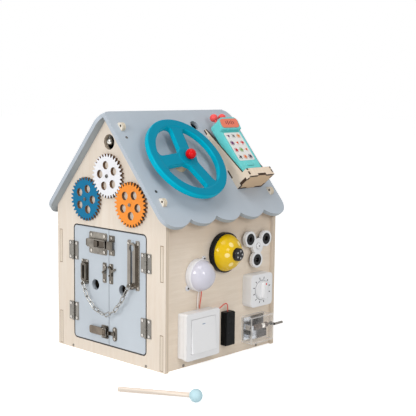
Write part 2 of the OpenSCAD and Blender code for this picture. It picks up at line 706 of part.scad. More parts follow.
// staple for the bolt, fixed horn and toggle strike on the right leaf
module right_catches() color([0.52, 0.5, 0.47]) {
  // staple
  translate([1, 0, bolt_z]) {
    on_front(seam, sheet) difference() {
      translate([0, -bolt_in - 12]) round_box([keeper_w, 2 * bolt_in + 24], 1.5);
      translate([-1, -bolt_in - 0.3]) square([keeper_w + 2, 2 * bolt_in + 0.6]);
    }
    on_front(seam, guide_top + sheet) difference() {
      translate([0, -bolt_in - sheet]) square([keeper_w, 2 * (bolt_in + sheet)]);
      translate([-1, -bolt_in]) square([keeper_w + 2, 2 * bolt_in]);
    }
    on_front(guide_top, sheet + seam) translate([0, -bolt_in - sheet]) square([keeper_w, 2 * (bolt_in + sheet)]);
    for (z = [-bolt_in - 7.2, bolt_in + 7.2]) front_screw([keeper_w / 2, z], sheet + seam, 2.2);
  }
  // fixed horn
  on_front(seam, sheet) translate([2, horn_z]) round_box(horn_plate, 2);
  on_front(sheet, 2.6) {
    translate([0, arch_z]) quarter_arch();
    translate([arch_r - arch_w / 2 + 0.2, arch_z - 8]) square([arch_w - 0.4, 9]);
    translate([0, arch_z]) polygon([[7.5, -2], [8, 3], [19.5, 7.6], [20.6, 4.8], [9.6, -2.2]]);
    translate([2.9, arch_z - 7.7]) circle(1.4);
  }
  for (z = [horn_z + 4, horn_z + horn_plate[1] - 2.6]) front_screw([6, z], sheet + seam, 1.9);
  // toggle strike
  translate([0, 0, toggle_z]) {
    on_front(seam, sheet) translate([11, -13.5]) round_box([11.6, 27], 5.7);
    on_front(sheet, 1.4) translate([1.4, -3.5]) square([15.6, 7]);
    on_front(sheet + 1.3, 3.5) translate([1.4, -3.5]) square([3, 7]);
    for (z = [-9, 9]) front_screw([16.8, z], sheet + seam, 2.2);
  }
}

// slotted chain track on the right leaf
module chain_track() color([0.56, 0.54, 0.5]) translate([chain_right_x, 0, track_z]) {
  on_front(seam, sheet) translate([-track_size[0] / 2, 0]) round_box(track_size, 3);
  on_front(sheet, 4.8) difference() {
    translate([-9.5, 1.5]) round_box([19, track_size[1] - 5], 9.4);
    translate([-6.6, 3.6]) round_box([13.2, track_size[1] - 10], 6.5);
  }
  on_front(sheet + 3.6, sheet) difference() {
    translate([-9.5, 1.5]) round_box([19, track_size[1] - 5], 9.4);
    translate([-2.6, 6.9]) round_box([5.2, track_size[1] - 16], 2.5);
    translate([0, track_size[1] - 13.5]) circle(6.2);
  }
  for (x = [-12.8, 12.8], z = [6, track_size[1] - 6]) front_screw([x, z], sheet + seam, 1.9);
}
// button that slides in the track and carries the chain
module chain_button() color([0.7, 0.68, 0.64]) translate([chain_right_x, 0, chain_z[1]]) {
  translate([0, face_y - sheet - clear, 0]) rotate([90, 0, 0]) {
    cylinder(r = 5, h = 2.6);
    cylinder(r = 2.2, h = 8);
  }
  link_post(sheet + 3.6 + sheet + clear, 3.6);
}

// ---- toggle latch ----

cheek_in = 9;
// base of the toggle with its cheeks and pin
module toggle_base() translate([0, 0, toggle_z]) {
  on_front(seam, sheet) translate([-20.5, -12.5]) round_box([19.3, 25], 2.5);
  for (s = [-1, 1]) translate([0, 0, s * (cheek_in + sheet / 2) - sheet / 2]) translate([-toggle_pin[0] - 4, face_y - toggle_pin[1] - 2.6, 0])
    cube([8, toggle_pin[1] + 2.6 - seam, sheet]);
  translate([-toggle_pin[0], face_y - toggle_pin[1], -cheek_in - 0.1]) cylinder(r = 1.1, h = 2 * cheek_in + 0.2);
}
// lever with its thumb end and the ears that carry the bail
module toggle_lever() color([0.42, 0.38, 0.34]) translate([0, 0, toggle_z]) difference() {
  union() {
    on_front(toggle_pin[1] - 1.2, 1.8) {
      translate([-toggle_pin[0] - 9, -5.5]) square([9, 11]);
      translate([-toggle_pin[0] - lever_l, -7.5]) round_box([lever_l - 8, 15], 4);
    }
    translate([-toggle_pin[0], face_y - toggle_pin[1], -5.5]) cylinder(r = 2.4, h = 11);
    for (s = [-1, 1]) translate([-bail_pin[0] - 1.8, face_y - bail_pin[1] - 1, s * 4.9 - 0.6]) cube([3.6, 3.2, 1.2]);
    translate([-bail_pin[0], face_y - bail_pin[1], -8.2]) cylinder(r = 0.7, h = 16.4, $fn = 24);
  }
  translate([-toggle_pin[0], face_y - toggle_pin[1], -6]) cylinder(r = 1.1 + run_play, h = 12);
}
// wire bail that pulls on the strike
bail_l = bail_pin[0] - 1.6;
module toggle_bail() color([0.6, 0.58, 0.55]) translate([-bail_pin[0], face_y - bail_pin[1], toggle_z]) difference() {
  union() {
    for (s = [-1, 1]) {
      translate([0, -0.7, s * 7.2 - 0.7]) cube([bail_l, 1.4, 1.4]);
      translate([0, 0, s * 7.2 - 0.7]) cylinder(r = 1.2, h = 1.4, $fn = 32);
    }
    translate([bail_l - 1.4, -0.7, -7.9]) cube([1.4, 1.4, 15.8]);
  }
  translate([0, 0, -9]) cylinder(r = 0.7 + run_play, h = 18, $fn = 24);
}

// ---- steering wheel ----

wheel_lift = spacer_h + clear;
shaft_r = 4;
module at_wheel() on_roof() translate([wheel_at[0], wheel_at[1], 0]) rotate(wheel_turn) children();
// wooden spacer and shaft under the wheel
module wheel_post() color([0.82, 0.74, 0.6]) at_wheel() translate([0, 0, seam]) {
  cylinder(r = spacer_r, h = spacer_h);
  cylinder(r = shaft_r, h = wheel_lift + wheel_t - clear);
}
// spoke along x with fillets into the hub and the rim
module spoke_shape() {
  rim_in = wheel_r - rim_w;
  y = spoke_w / 2 + spoke_fillet;
  hub_c = sqrt((hub_r + spoke_fillet) * (hub_r + spoke_fillet) - y * y);
  rim_c = sqrt((rim_in - spoke_fillet) * (rim_in - spoke_fillet) - y * y);
  translate([0, -spoke_w / 2]) square([wheel_r - rim_w / 2, spoke_w]);
  for (s = [-1, 1]) {
    difference() {
      polygon([[0, 0], [hub_c, 0], [hub_c, s * y]]);
      translate([hub_c, s * y]) circle(spoke_fillet);
    }
    difference() {
      polygon([[rim_c, 0], [rim_c, s * y], [rim_c, s * y] * (rim_in + 3) / norm([rim_c, y]), [rim_in + 3, 0]]);
      translate([rim_c, s * y]) circle(spoke_fillet);
    }
  }
}
// three-spoked wheel; its top points along the local x axis
module steering_wheel() color([0, 0.6, 0.75]) at_wheel() translate([0, 0, wheel_lift]) difference() {
  union() {
    rotate_extrude($fn = 120) translate([wheel_r - rim_w, 0]) round_box([rim_w, wheel_t], 3);
    soft_disc(hub_r, wheel_t, 2);
    for (a = [-75.5, 75.5, 180]) rotate(a) translate([0, 0, 0.8]) linear_extrude(wheel_t - 1.6) spoke_shape();
  }
  translate([0, 0, -1]) cylinder(r = shaft_r + run_play, h = wheel_t + 2);
}
// ball on the hub
module wheel_ball() color([0.85, 0.1, 0.12]) at_wheel() translate([0, 0, wheel_lift + wheel_t + seam]) rotate_extrude() intersection() {
  translate([0, wheel_ball_r - 1.5]) circle(wheel_ball_r);
  square(2 * wheel_ball_r);
}

// ---- phone and holder ----

cradle_y = [cradle_y0, cradle_y0 + 2 * cradle_t + phone_size[1] + phone_room];
phone_h0 = 12.6;
phone_y0 = cradle_y[0] + cradle_t + 1;
phone_end = cradle_s[1] - cradle_t - clear;
phone_s0 = phone_end - phone_size[0];
// plywood holder: two cheeks, a bed, an end stop and a lip over the foot
module phone_cradle() color([0.86, 0.78, 0.62]) on_roof() {
  lip_s = cradle_s[1] - lip_depth;
  for (y = [cradle_y[0] + cradle_t, cradle_y[1]]) translate([0, y, 0]) rotate([90, 0, 0]) linear_extrude(cradle_t)
    polygon([[cradle_s[0], seam], [cradle_s[0], 4.8], [lip_s, 29], [lip_s, cradle_h], [cradle_s[1], cradle_h], [cradle_s[1], seam]]);
  translate([cradle_s[1] - cradle_t, cradle_y[0] + 0.1, seam]) cube([cradle_t, cradle_y[1] - cradle_y[0] - 0.2, cradle_h - seam]);
  translate([lip_s, cradle_y[0] + 0.1, cradle_h - cradle_t]) cube([lip_depth - 0.1, cradle_y[1] - cradle_y[0] - 0.2, cradle_t]);
  translate([cradle_s[0] + 60, cradle_y[0] + 0.1, phone_h0 - 0.6 - cradle_t]) cube([cradle_s[1] - cradle_s[0] - 60.1, cradle_y[1] - cradle_y[0] - 0.2, cradle_t]);
}
// outline of the phone from the side: along it and up from its back
module phone_side() polygon([[-1, 0], [phone_size[0] + 1, 0], [phone_size[0] + 1, phone_size[2]], [phone_head[0] + 3.6, phone_size[2]],
  [phone_head[0] + 2.4, phone_size[2] - 1.6], [phone_head[0] + 0.4, phone_size[2] - 1.6], [phone_head[0], phone_size[2] + phone_head[1]], [-1, phone_size[2] + phone_head[2]]]);
head_slope = atan((phone_head[2] - phone_head[1]) / (phone_head[0] + 1));
// places things on the sloping face of the phone's head
module on_head() translate([0, 0, phone_size[2] + phone_head[2]]) rotate([0, head_slope, 0]) children();
keypad = [66.4, phone_size[1] - 9.6];
keypad_s = phone_head[0] + 5;
// phone body with its raised head, a groove below it, a recess for the keypad and a low bar at the foot
module phone_body() color([0.43, 0.8, 0.78]) on_roof() translate([phone_s0, phone_y0, phone_h0]) difference() {
  union() {
    intersection() {
      linear_extrude(phone_size[2] + phone_head[2] + 1) round_box([phone_size[0], phone_size[1]], phone_r);
      translate([0, phone_size[1] + 1, 0]) rotate([90, 0, 0]) linear_extrude(phone_size[1] + 2) phone_side();
    }
    translate([phone_size[0] - 34, phone_size[1] / 2 - 9.5, phone_size[2] - 0.2]) linear_extrude(1.4) round_box([7.5, 19], 3.7);
  }
  translate([keypad_s - 0.3, phone_size[1] / 2 - keypad[1] / 2 - 0.3, phone_size[2] - 1.2]) linear_extrude(3) round_box(keypad + [0.6, 0.6], 4);
  for (y = ear_y) translate([-1, y - phone_y0, ear_lift]) rotate([0, 90, 0]) cylinder(r = 3, h = 7);
}
ear_lift = phone_size[2] / 2 - 1.2;
ear_y = [for (s = [-1, 1]) phone_y0 + phone_size[1] / 2 + 11.8 * s];
// pale keypad with twelve low buttons, set in the recess
module phone_keys() color([0.93, 0.93, 0.9]) on_roof() translate([phone_s0, phone_y0, phone_h0 + phone_size[2] - 1.2 + seam]) {
  translate([keypad_s, phone_size[1] / 2 - keypad[1] / 2, 0]) linear_extrude(1) round_box(keypad, 3.7);
  for (r = [0:3], c = [0:2]) translate([keypad_s + keypad[0] * (r + 0.5) / 4, phone_size[1] / 2 + keypad[1] * (c - 1) * 0.31, 0.9]) cylinder(r = 4.4, h = 0.8);
}
// coral head panel and two ball ears
module phone_trim() color([0.93, 0.49, 0.39]) on_roof() translate([phone_s0, 0, phone_h0]) {
  on_head() translate([3.5, phone_y0 + 3.5, seam]) linear_extrude(1.2) round_box([phone_head[0] - 6, phone_size[1] - 7], 6);
  for (y = ear_y) translate([0, y, ear_lift]) {
    translate([-ear_r - 6, 0, 0]) sphere(ear_r);
    translate([-ear_r, 0, 0]) rotate([0, 90, 0]) cylinder(r = 3 - seam, h = ear_r + 5.9);
  }
}

// ---- bell, lamp and wires ----

// black base of the bell
module bell_base() color([0.1, 0.1, 0.11]) side_round(bell_at, seam) soft_disc(bell_base_r, bell_base_h, 1.5);
// yellow dome with the knob's well
module bell_dome() color([0.94, 0.8, 0.16]) side_round(bell_at, bell_base_h + 2 * seam) difference() {
  cap(bell_r, bell_h);
  translate([0, 0, bell_h - knob_well]) cylinder(r = knob_r + clear, h = knob_well + 1);
}
// knob of the bell
module bell_knob() color([0.1, 0.1, 0.11]) side_round(bell_at, bell_base_h + bell_h - knob_well + knob_travel + clear) soft_disc(knob_r, knob_l, 2.5);
// white base of the lamp with two screw ears
lamp_ears = [[18, 26.7], [-26.7, -25.3]];
module lamp_base() color([0.9, 0.9, 0.88]) {
  side_round(lamp_at, seam) soft_disc(lamp_base_r, lamp_base_h, 2);
  on_side(seam, 2.4) for (e = lamp_ears) let (d = e / norm(e), q = lamp_at + d * (lamp_base_r + 3)) {
    bar(lamp_at, q, 10);
    translate(q) circle(5);
  }
  for (e = lamp_ears) side_round(lamp_at + e / norm(e) * (lamp_base_r + 3), 2.4 + seam) screw(2.6, 1);
}
// milky dome of the lamp
module lamp_dome() color([0.88, 0.87, 0.92]) side_round(lamp_at, lamp_base_h + 2 * seam) difference() {
  cap(lamp_r, lamp_h);
  cap(lamp_r - 2.4, lamp_h - 2.4);
}
// tube of eight sides through a row of points
module wire(p, r) {
  n = len(p);
  function dir(i) = let (v = p[min(i + 1, n - 1)] - p[max(i - 1, 0)]) v / norm(v);
  function side(i) = let (c = cross(dir(i), [1, 0, 0])) c / norm(c);
  pts = [for (i = [0:n - 1]) let (u = side(i), w = cross(dir(i), u)) for (k = [0:7]) p[i] + r * (cos(45 * k) * u + sin(45 * k) * w)];
  polyhedron(pts, concat([[7, 6, 5, 4, 3, 2, 1, 0]], [[for (k = [0:7]) 8 * (n - 1) + k]],
    [for (i = [0:n - 2], k = [0:7]) [8 * i + k, 8 * i + (k + 1) % 8, 8 * (i + 1) + (k + 1) % 8, 8 * (i + 1) + k]]));
}
// smooth course through four guide points, n steps
function course(a, b, c, d, n) = [for (k = [0:n]) let (t = k / n, s = 1 - t)
  s * s * s * a + 3 * s * s * t * b + 3 * s * t * t * c + t * t * t * d];
// leads from the lamp and the battery box to the switch
module lead_wires() color([0.84, 0.37, 0.31]) {
  x = side_x;
  top = switch_at[1] + switch_side;
  wire(course([x + 5, lamp_at[0] + 2, lamp_at[1] - lamp_base_r - 0.1], [x + 4, lamp_at[0] + 1, 128], [x + 3, lamp_at[0] - 1, 114], [x + 4, lamp_at[0] + 1, top + 0.1], 10), 0.9);
  wire(course([x + 5, lamp_at[0] + 8, lamp_at[1] - lamp_base_r + 1.1], [x + 6, lamp_at[0] + 10, 127], [x + 3, lamp_at[0] + 6, 115], [x + 4, lamp_at[0] + 6, top + 0.1], 10), 0.9);
  wire(course([x + 6, switch_at[0] + switch_side + 0.1, 92], [x + 6, switch_at[0] + switch_side + 22, 90],
    [x + 7, battery_at[0] + 13, battery_at[1] + battery_size[1] + 34], [x + 7, battery_at[0] + 11, battery_at[1] + battery_size[1] + 0.1], 16), 0.9);
}

// ---- switch, battery box, spinner, timer ----

// wall switch body with the rocker's well
module switch_box() color([0.92, 0.92, 0.9]) difference() {
  union() {
    on_side(seam, switch_depth - 8) translate(switch_at + [1.5, 1.5]) round_box([switch_side - 3, switch_side - 3], 3);
    on_side(switch_depth - 8.1, 8.1) translate(switch_at) round_box([switch_side, switch_side], 4);
  }
  on_side(switch_depth - rocker_t - 5, 30) translate(switch_at + (switch_side - rocker_side) / 2 * [1, 1] - rocker_play * [1, 1]) square(rocker_side + 2 * rocker_play);
}
// rocker, tilted at rest
rocker_mid = [side_x + switch_depth + rocker_lift - rocker_t / 2, switch_at[0] + switch_side / 2, switch_at[1] + switch_side / 2];
module switch_rocker() color([0.95, 0.95, 0.93]) translate(rocker_mid) rotate([0, -rocker_tilt, 0])
  translate([-rocker_t / 2, -rocker_side / 2, -rocker_side / 2]) cube([rocker_t, rocker_side, rocker_side]);
// black battery box with a lid and a lid screw
module battery_box() color([0.12, 0.13, 0.14]) {
  on_side(seam, battery_size[2] - 2.5) translate(battery_at) round_box([battery_size[0], battery_size[1]], 2);
  on_side(battery_size[2] - 2.6, 2.6) translate(battery_at + [0.8, 0.8]) round_box([battery_size[0] - 1.6, battery_size[1] - 1.6], 2);
  side_round(battery_at + [battery_size[0] / 2, battery_size[1] - 8], battery_size[2]) screw(2.6, 0.8);
}
// washer and shaft of the spinner
module spinner_post() color([0.6, 0.6, 0.58]) side_round(spinner_at, seam) {
  cylinder(r = 8, h = 6 - clear);
  cylinder(r = 3, h = 6 + spinner_t + clear + 0.5);
  translate([0, 0, 6 + spinner_t + clear]) cap(6.5, 2.6);
}
// three-lobed spinner
spinner_hub_r = 15;
neck_w = 17;
module spinner_shape() difference() {
  union() {
    circle(spinner_hub_r);
    for (k = [0:2]) rotate(spinner_turn + 120 * k) {
      translate([lobe_at, 0]) circle(lobe_r);
      translate([0, -neck_w / 2]) square([lobe_at, neck_w]);
    }
  }
  circle(3 + run_play);
  for (k = [0:2]) translate(polar(lobe_at, spinner_turn + 120 * k)) circle(ring_r[0]);
}
module spinner() color([0.93, 0.93, 0.92]) on_side(6, spinner_t) translate(spinner_at) spinner_shape();
// black bearing rings in the lobes
module spinner_rings() color([0.1, 0.1, 0.11]) for (k = [0:2]) side_round(spinner_at + polar(lobe_at, spinner_turn + 120 * k), 6 - 0.2) difference() {
  cylinder(r = ring_r[0] - seam, h = spinner_t + 0.4);
  translate([0, 0, -1]) cylinder(r = ring_r[1], h = spinner_t + 3);
}
// timer case
module timer_case() color([0.91, 0.91, 0.93]) difference() {
  on_side(seam, timer_size[1]) translate(timer_at - timer_size[0] / 2 * [1, 1]) round_box([timer_size[0], timer_size[0]], timer_r);
  side_round(timer_at, timer_size[1] - 6) cylinder(r = 3 + run_play, h = 8);
}
// timer dial with its grip bar
module timer_knob() color([0.95, 0.95, 0.96]) side_round(timer_at, timer_size[1]) {
  translate([0, 0, clear]) cylinder(r = dial_r, h = 2.2);
  translate([0, 0, 2.5]) cylinder(r = dial_r - 1.4, h = 1);
  translate([0, 0, 3.4]) linear_extrude(8) {
    translate([-dial_r + 6.5, -grip_w / 2]) square([2 * dial_r - 13, grip_w]);
    for (s = [-1, 1]) translate([s * (dial_r - 6.5), 0]) circle(grip_w / 2);
  }
  translate([0, 0, -5.5]) cylinder(r = 3, h = 7);
}

// ---- music box ----

music_end = music_at[0] + music_size[0];
// clear case, open to the wall
module music_case() color([0.85, 0.88, 0.9, 0.5]) difference() {
  on_side(seam, music_size[2]) translate(music_at) round_box([music_size[0], music_size[1]], 3);
  on_side(-1, music_size[2] - 1) translate(music_at + [2, 2]) square([music_size[0] - 4, music_size[1] - 4]);
  translate([music_shaft[0], music_end - 5, music_shaft[1]]) rotate([-90, 0, 0]) cylinder(r = 2 + run_play, h = 10);
}
// base plate, comb and bearing of the movement
module music_frame() color([0.72, 0.68, 0.55]) {
  on_side(seam, 3) translate(music_at + [4, 4]) square([music_size[0] - 8, music_size[1] - 8]);
  // comb with sixteen teeth under the drum
  translate([side_x + 3, music_at[0] + 12, music_at[1] + 8]) cube([music_shaft[0] - side_x - 3, 42, 6]);
  for (k = [0:15]) translate([music_shaft[0] - 1.2, music_at[0] + 12.6 + 2.6 * k, music_at[1] + 13.9])
    cube([1.2, 1.8, music_shaft[1] - drum_r - 1.2 - music_at[1] - 13.9]);
  // bearing at the blind end
  difference() {
    translate([side_x + 3, music_at[0] + 6, music_shaft[1] - 5]) cube([music_shaft[0] - side_x + 1.5, 4, 10]);
    translate([music_shaft[0], music_at[0] + 5, music_shaft[1]]) rotate([-90, 0, 0]) cylinder(r = 2 + run_play, h = 6);
  }
}
// pinned drum on the crank's shaft
module music_drum() color([0.85, 0.75, 0.45]) translate([music_shaft[0], music_at[0] + 12, music_shaft[1]]) rotate([-90, 0, 0]) difference() {
  union() {
    cylinder(r = drum_r, h = 42);
    for (k = [0:15], j = [0:2]) rotate(137 * k + 120 * j) translate([drum_r - 0.3, 0, 1.5 + 2.6 * k]) rotate([0, 90, 0]) cylinder(r = 0.3, h = 0.8, $fn = 16);
  }
  translate([0, 0, -1]) cylinder(r = 2 + seam, h = 44);
}
// crank: shaft, arm and handle
module music_crank() color([0.66, 0.64, 0.6]) translate([music_shaft[0], 0, music_shaft[1]]) rotate([-90, 0, 0]) {
  translate([0, 0, music_at[0] + 6.5]) cylinder(r = 2, h = music_size[0] - 6.5 + 4);
  translate([0, 0, music_end + 1]) linear_extrude(2.6) {
    circle(3.6);
    translate([0, -2.6]) square([crank_arm, 5.2]);
    translate([crank_arm, 0]) circle(2.6);
  }
  translate([crank_arm, 0, music_end + 3.4]) cylinder(r = 2.6, h = 22);
}

// ---- mallet ----

mallet_rise = asin((mallet_ball_r - stick_r) / mallet_l);
// stick lying with one end on the ground
module mallet_stick() color([0.88, 0.8, 0.66]) translate([mallet_end[0], mallet_end[1], stick_r]) rotate([0, 0, mallet_turn]) rotate([0, 90 - mallet_rise, 0])
  translate([0, 0, 1]) cylinder(r = stick_r - 0.05, h = mallet_l - mallet_ball_r + 4);
// ball pushed on its end
module mallet_ball() color([0.65, 0.84, 0.88]) translate([mallet_end[0], mallet_end[1], stick_r]) rotate([0, 0, mallet_turn]) rotate([0, 90 - mallet_rise, 0]) difference() {
  translate([0, 0, mallet_l]) sphere(mallet_ball_r);
  translate([0, 0, mallet_l - mallet_ball_r - 1]) cylinder(r = stick_r, h = 6.1);
}

front_wall();
back_wall();
left_wall();
right_wall();
floor_panel();
roof_left();
roof_right();
roof_discs();
panel_screws();
hinge_frames();
wheel_post();
spinner_post();
phone_cradle();
bell_base();
bell_dome();
lamp_base();
lamp_dome();
lead_wires();
switch_box();
battery_box();
timer_case();
music_case();
music_frame();
left_leaf();
left_hinge_leaves();
bolt_guide();
left_catches();
slide_bolt();
horn_arm();
toggle_lever();
toggle_bail();
right_leaf();
right_hinge_leaves();
right_catches();
chain_track();
chain_button();
chain_left_1();
chain_left_2();
chain_left_3();
chain_right_1();
chain_right_2();
chain_right_3();
white_gear();
blue_gear();
orange_gear();
steering_wheel();
wheel_ball();
phone_body();
phone_keys();
phone_trim();
spinner();
spinner_rings();
bell_knob();
switch_rocker();
timer_knob();
music_drum();
music_crank();
jingle_bell();
mallet_stick();
mallet_ball();
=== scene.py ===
"""The looks of a wooden busy house: painted plywood, nickel fittings and small toys."""
import math

import bpy
import numpy as np
from mathutils import Matrix, Vector


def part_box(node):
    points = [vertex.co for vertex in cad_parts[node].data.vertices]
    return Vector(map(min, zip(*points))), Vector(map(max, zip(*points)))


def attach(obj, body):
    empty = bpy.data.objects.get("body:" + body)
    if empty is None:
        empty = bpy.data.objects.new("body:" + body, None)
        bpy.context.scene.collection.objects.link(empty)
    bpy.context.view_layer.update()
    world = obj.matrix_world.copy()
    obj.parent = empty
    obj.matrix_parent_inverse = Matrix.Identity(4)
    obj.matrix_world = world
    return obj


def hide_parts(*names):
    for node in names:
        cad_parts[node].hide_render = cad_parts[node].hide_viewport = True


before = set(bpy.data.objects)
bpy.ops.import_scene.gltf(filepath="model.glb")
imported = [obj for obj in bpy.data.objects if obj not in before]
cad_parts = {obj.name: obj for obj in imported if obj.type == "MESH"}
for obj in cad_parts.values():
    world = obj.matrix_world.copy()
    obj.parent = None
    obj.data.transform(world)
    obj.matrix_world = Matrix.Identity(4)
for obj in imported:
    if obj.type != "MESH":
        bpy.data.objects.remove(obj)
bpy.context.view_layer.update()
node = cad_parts

# ---------------------------------------------------------------- camera
# A long lens a little above the eaves, turned to the corner between the
# doors and the fitted wall.
EYE = Vector((1.34926, -1.32926, 0.50897))
TURN, DIP, ROLL = 0.750826, 0.125363, 0.010903
FOCAL_PIXELS, PICTURE_PIXELS, FILM_MM = 978.91, 416, 36
back = Vector((math.sin(TURN) * math.cos(DIP), -math.cos(TURN) * math.cos(DIP), math.sin(DIP)))
right = Vector((math.cos(TURN), math.sin(TURN), 0))
up = back.cross(right)
tilted_right = math.cos(ROLL) * right + math.sin(ROLL) * up
tilted_up = math.cos(ROLL) * up - math.sin(ROLL) * right
camera = bpy.data.objects.new("studio_camera", bpy.data.cameras.new("studio_camera"))
bpy.context.scene.collection.objects.link(camera)
camera.matrix_world = Matrix.Translation(EYE) @ Matrix((tilted_right, tilted_up, back)).transposed().to_4x4()
camera.data.lens = FOCAL_PIXELS / PICTURE_PIXELS * FILM_MM
camera.data.clip_start, camera.data.clip_end = 0.05, 60
bpy.context.scene.camera = camera
bpy.context.scene.view_settings.view_transform = "Standard"


# ---------------------------------------------------------------- studio
# A white sweep of floor and backdrop under soft lamps. Camera, mirror and
# glass rays see it white, and the floor keeps the object's shadow.
class Field:
    """A number, direction or colour that varies over a surface: one socket of
    a shader's node tree. Arithmetic on it adds Math nodes. A comparison is one
    where it holds, else zero, and & and | join such masks."""

    def __init__(self, socket):
        self.socket, self.tree = socket, socket.id_data

    def work(self, kind, other=None):
        """One Math node on this field and on another field or a number."""
        made = self.tree.nodes.new("ShaderNodeMath")
        made.operation = kind
        feed(self, made.inputs[0])
        if other is not None:
            feed(other, made.inputs[1])
        return Field(made.outputs[0])

    def at_least(self, low):
        return self.work("MAXIMUM", low)

    def at_most(self, high):
        return self.work("MINIMUM", high)

    def __abs__(self):
        return self.work("ABSOLUTE")

    def __add__(self, other):
        return self.work("ADD", other)

    def __sub__(self, other):
        return self.work("SUBTRACT", other)

    def __rsub__(self, other):
        return self.work("MULTIPLY", -1.0).work("ADD", other)

    def __mul__(self, other):
        return self.work("MULTIPLY", other)

    def __truediv__(self, other):
        return self.work("DIVIDE", other)

    def __pow__(self, other):
        return self.work("POWER", other)

    def __lt__(self, other):
        return self.work("LESS_THAN", other)

    def __gt__(self, other):
        return self.work("GREATER_THAN", other)

    __and__ = __mul__
    __or__ = at_least


def feed(value, slot):
    """Gives a node's input a field, a colour or a plain value."""
    if isinstance(value, Field):
        value.tree.links.new(value.socket, slot)
    elif slot.type == "RGBA":
        slot.default_value = (*value, 1)
    else:
        slot.default_value = value


def fill(made, **inputs):
    """Feeds a node's inputs by their names, with _ for a space."""
    for key, value in inputs.items():
        feed(value, made.inputs[key.replace("_", " ")])
    return made


def add(tree, kind, **inputs):
    """A new shader node of a kind, with its inputs fed."""
    return fill(tree.nodes.new("ShaderNode" + kind), **inputs)


def ramp_to(field, low, high):
    """A field from 0 to 1 stretched to run from low to high."""
    return Field(add(field.tree, "MapRange", Value=field, To_Min=low, To_Max=high).outputs["Result"])


def graph(name):
    """A new node material: returns it, its tree and its Principled shader."""
    mat = bpy.data.materials.new(name)
    mat.use_nodes = True
    return mat, mat.node_tree, mat.node_tree.nodes["Principled BSDF"]


def sees_white(tree):
    """One where a camera, glossy or transmission ray looks, else zero."""
    rays = tree.nodes.new("ShaderNodeLightPath").outputs
    seen, mirrored, through = [Field(rays["Is %s Ray" % kind]) for kind in ("Camera", "Glossy", "Transmission")]
    return seen | mirrored | through


def sheet_mesh(name, x, y, z):
    """A surface from three equal grids of x, y and z: each cell is a quad."""
    rows, cols = x.shape
    k = np.arange(rows * cols).reshape(rows, cols)
    quads = np.stack([k[:-1, :-1], k[1:, :-1], k[1:, 1:], k[:-1, 1:]], -1).reshape(-1, 4)
    mesh = bpy.data.meshes.new(name)
    mesh.from_pydata(np.stack([x, y, z], -1).reshape(-1, 3).tolist(), [], quads.tolist())
    mesh.polygons.foreach_set("use_smooth", np.ones(len(quads), bool))
    piece = bpy.data.objects.new(name, mesh)
    bpy.context.scene.collection.objects.link(piece)
    return piece


sweep_half, sweep_tone, sweep_glow = 12, 0.84, 0.64
room_light, room_white = 0.4, 1.0
line = np.linspace(-sweep_half, sweep_half, 25)
u, v = np.meshgrid(line, line, indexing="ij")
floor = sheet_mesh("floor_sweep", u, v, np.zeros_like(u))
sweep, tree, shader = graph("white_sweep")
fill(shader, Base_Color=[sweep_tone] * 3, Roughness=0.9, Specular_IOR_Level=0.1,
     Emission_Color=(1, 1, 1), Emission_Strength=sees_white(tree) * sweep_glow)
floor.data.materials.append(sweep)

world = bpy.data.worlds.new("soft_room")
world.use_nodes = True
bpy.context.scene.world = world
fill(world.node_tree.nodes["Background"], Color=(1, 1, 1),
     Strength=ramp_to(sees_white(world.node_tree), room_light, room_white))


def soft_lamp(name, place, aim, size, watts):
    """A square area lamp of that size that looks at a point."""
    lamp = bpy.data.lights.new(name, "AREA")
    lamp.size, lamp.energy = size, watts
    holder = bpy.data.objects.new(name, lamp)
    holder.location = place
    holder.rotation_euler = (Vector(aim) - Vector(place)).to_track_quat("-Z", "Y").to_euler()
    bpy.context.scene.collection.objects.link(holder)


soft_lamp("front_lamp", (0.35, -2.5, 1.2), (0, 0, 0.2), 0.9, 28)
soft_lamp("side_lamp", (2.4, -0.75, 1.15), (0, 0, 0.15), 0.7, 14)
soft_lamp("top_lamp", (0.6, -0.8, 2.6), (0, 0, 0.2), 1.2, 17)


# ---------------------------------------------------------------- house walls
# Birch plywood under a clear coat. Faces show pale long grain, cut edges
# show the plies, and the laser leaves slots, tabs and doorway brown.
def object_place(tree, scale):
    """Object coordinates stretched by scale."""
    place = Field(tree.nodes.new("ShaderNodeTexCoord").outputs["Object"])
    return Field(add(tree, "Mapping", Vector=place, Scale=scale).outputs["Vector"])


def axes_of(tree, kind="Object"):
    """The x, y and z of a surface's place on its object, or of its Normal."""
    split = tree.nodes.new("ShaderNodeSeparateXYZ")
    feed(Field(tree.nodes.new("ShaderNodeTexCoord").outputs[kind]), split.inputs[0])
    return [Field(out) for out in split.outputs]


def facing(tree, axis):
    """How squarely a surface faces along one of its own object's axes."""
    return abs(axes_of(tree, "Normal")[axis])


def noise(tree, scale, size, detail=3.0, rough=0.55):
    """Noise between 0 and 1 on stretched object coordinates."""
    place = object_place(tree, scale)
    return Field(add(tree, "TexNoise", Vector=place, Scale=size, Detail=detail, Roughness=rough).outputs["Fac"])


def ramp(field, low, high):
    """A field stretched so that low gives 0 and high gives 1, clamped."""
    return Field(add(field.tree, "MapRange", Value=field, From_Min=low, From_Max=high).outputs["Result"])


def within(field, low, high):
    """One where a field lies between two limits, else zero."""
    return (field > low) & (field < high)


def blend(share, a, b):
    """Colour a where the share is 0 and b where it is 1."""
    made = share.tree.nodes.new("ShaderNodeMix")
    made.data_type = "RGBA"
    feed(share, made.inputs["Factor"])
    for key, colour in (("A", a), ("B", b)):
        feed(colour, [s for s in made.inputs if s.name == key and s.type == "RGBA"][0])
    return Field([s for s in made.outputs if s.type == "RGBA"][0])


def toned(colour, share):
    """A colour made darker or paler."""
    return [min(1, c * share) for c in colour]


def bump(tree, shader, height, depth, strength=0.6):
    """Small dents where the height field is low, down to a depth."""
    made = add(tree, "Bump", Height=height, Distance=depth, Strength=strength)
    feed(Field(made.outputs["Normal"]), shader.inputs["Normal"])
    return made


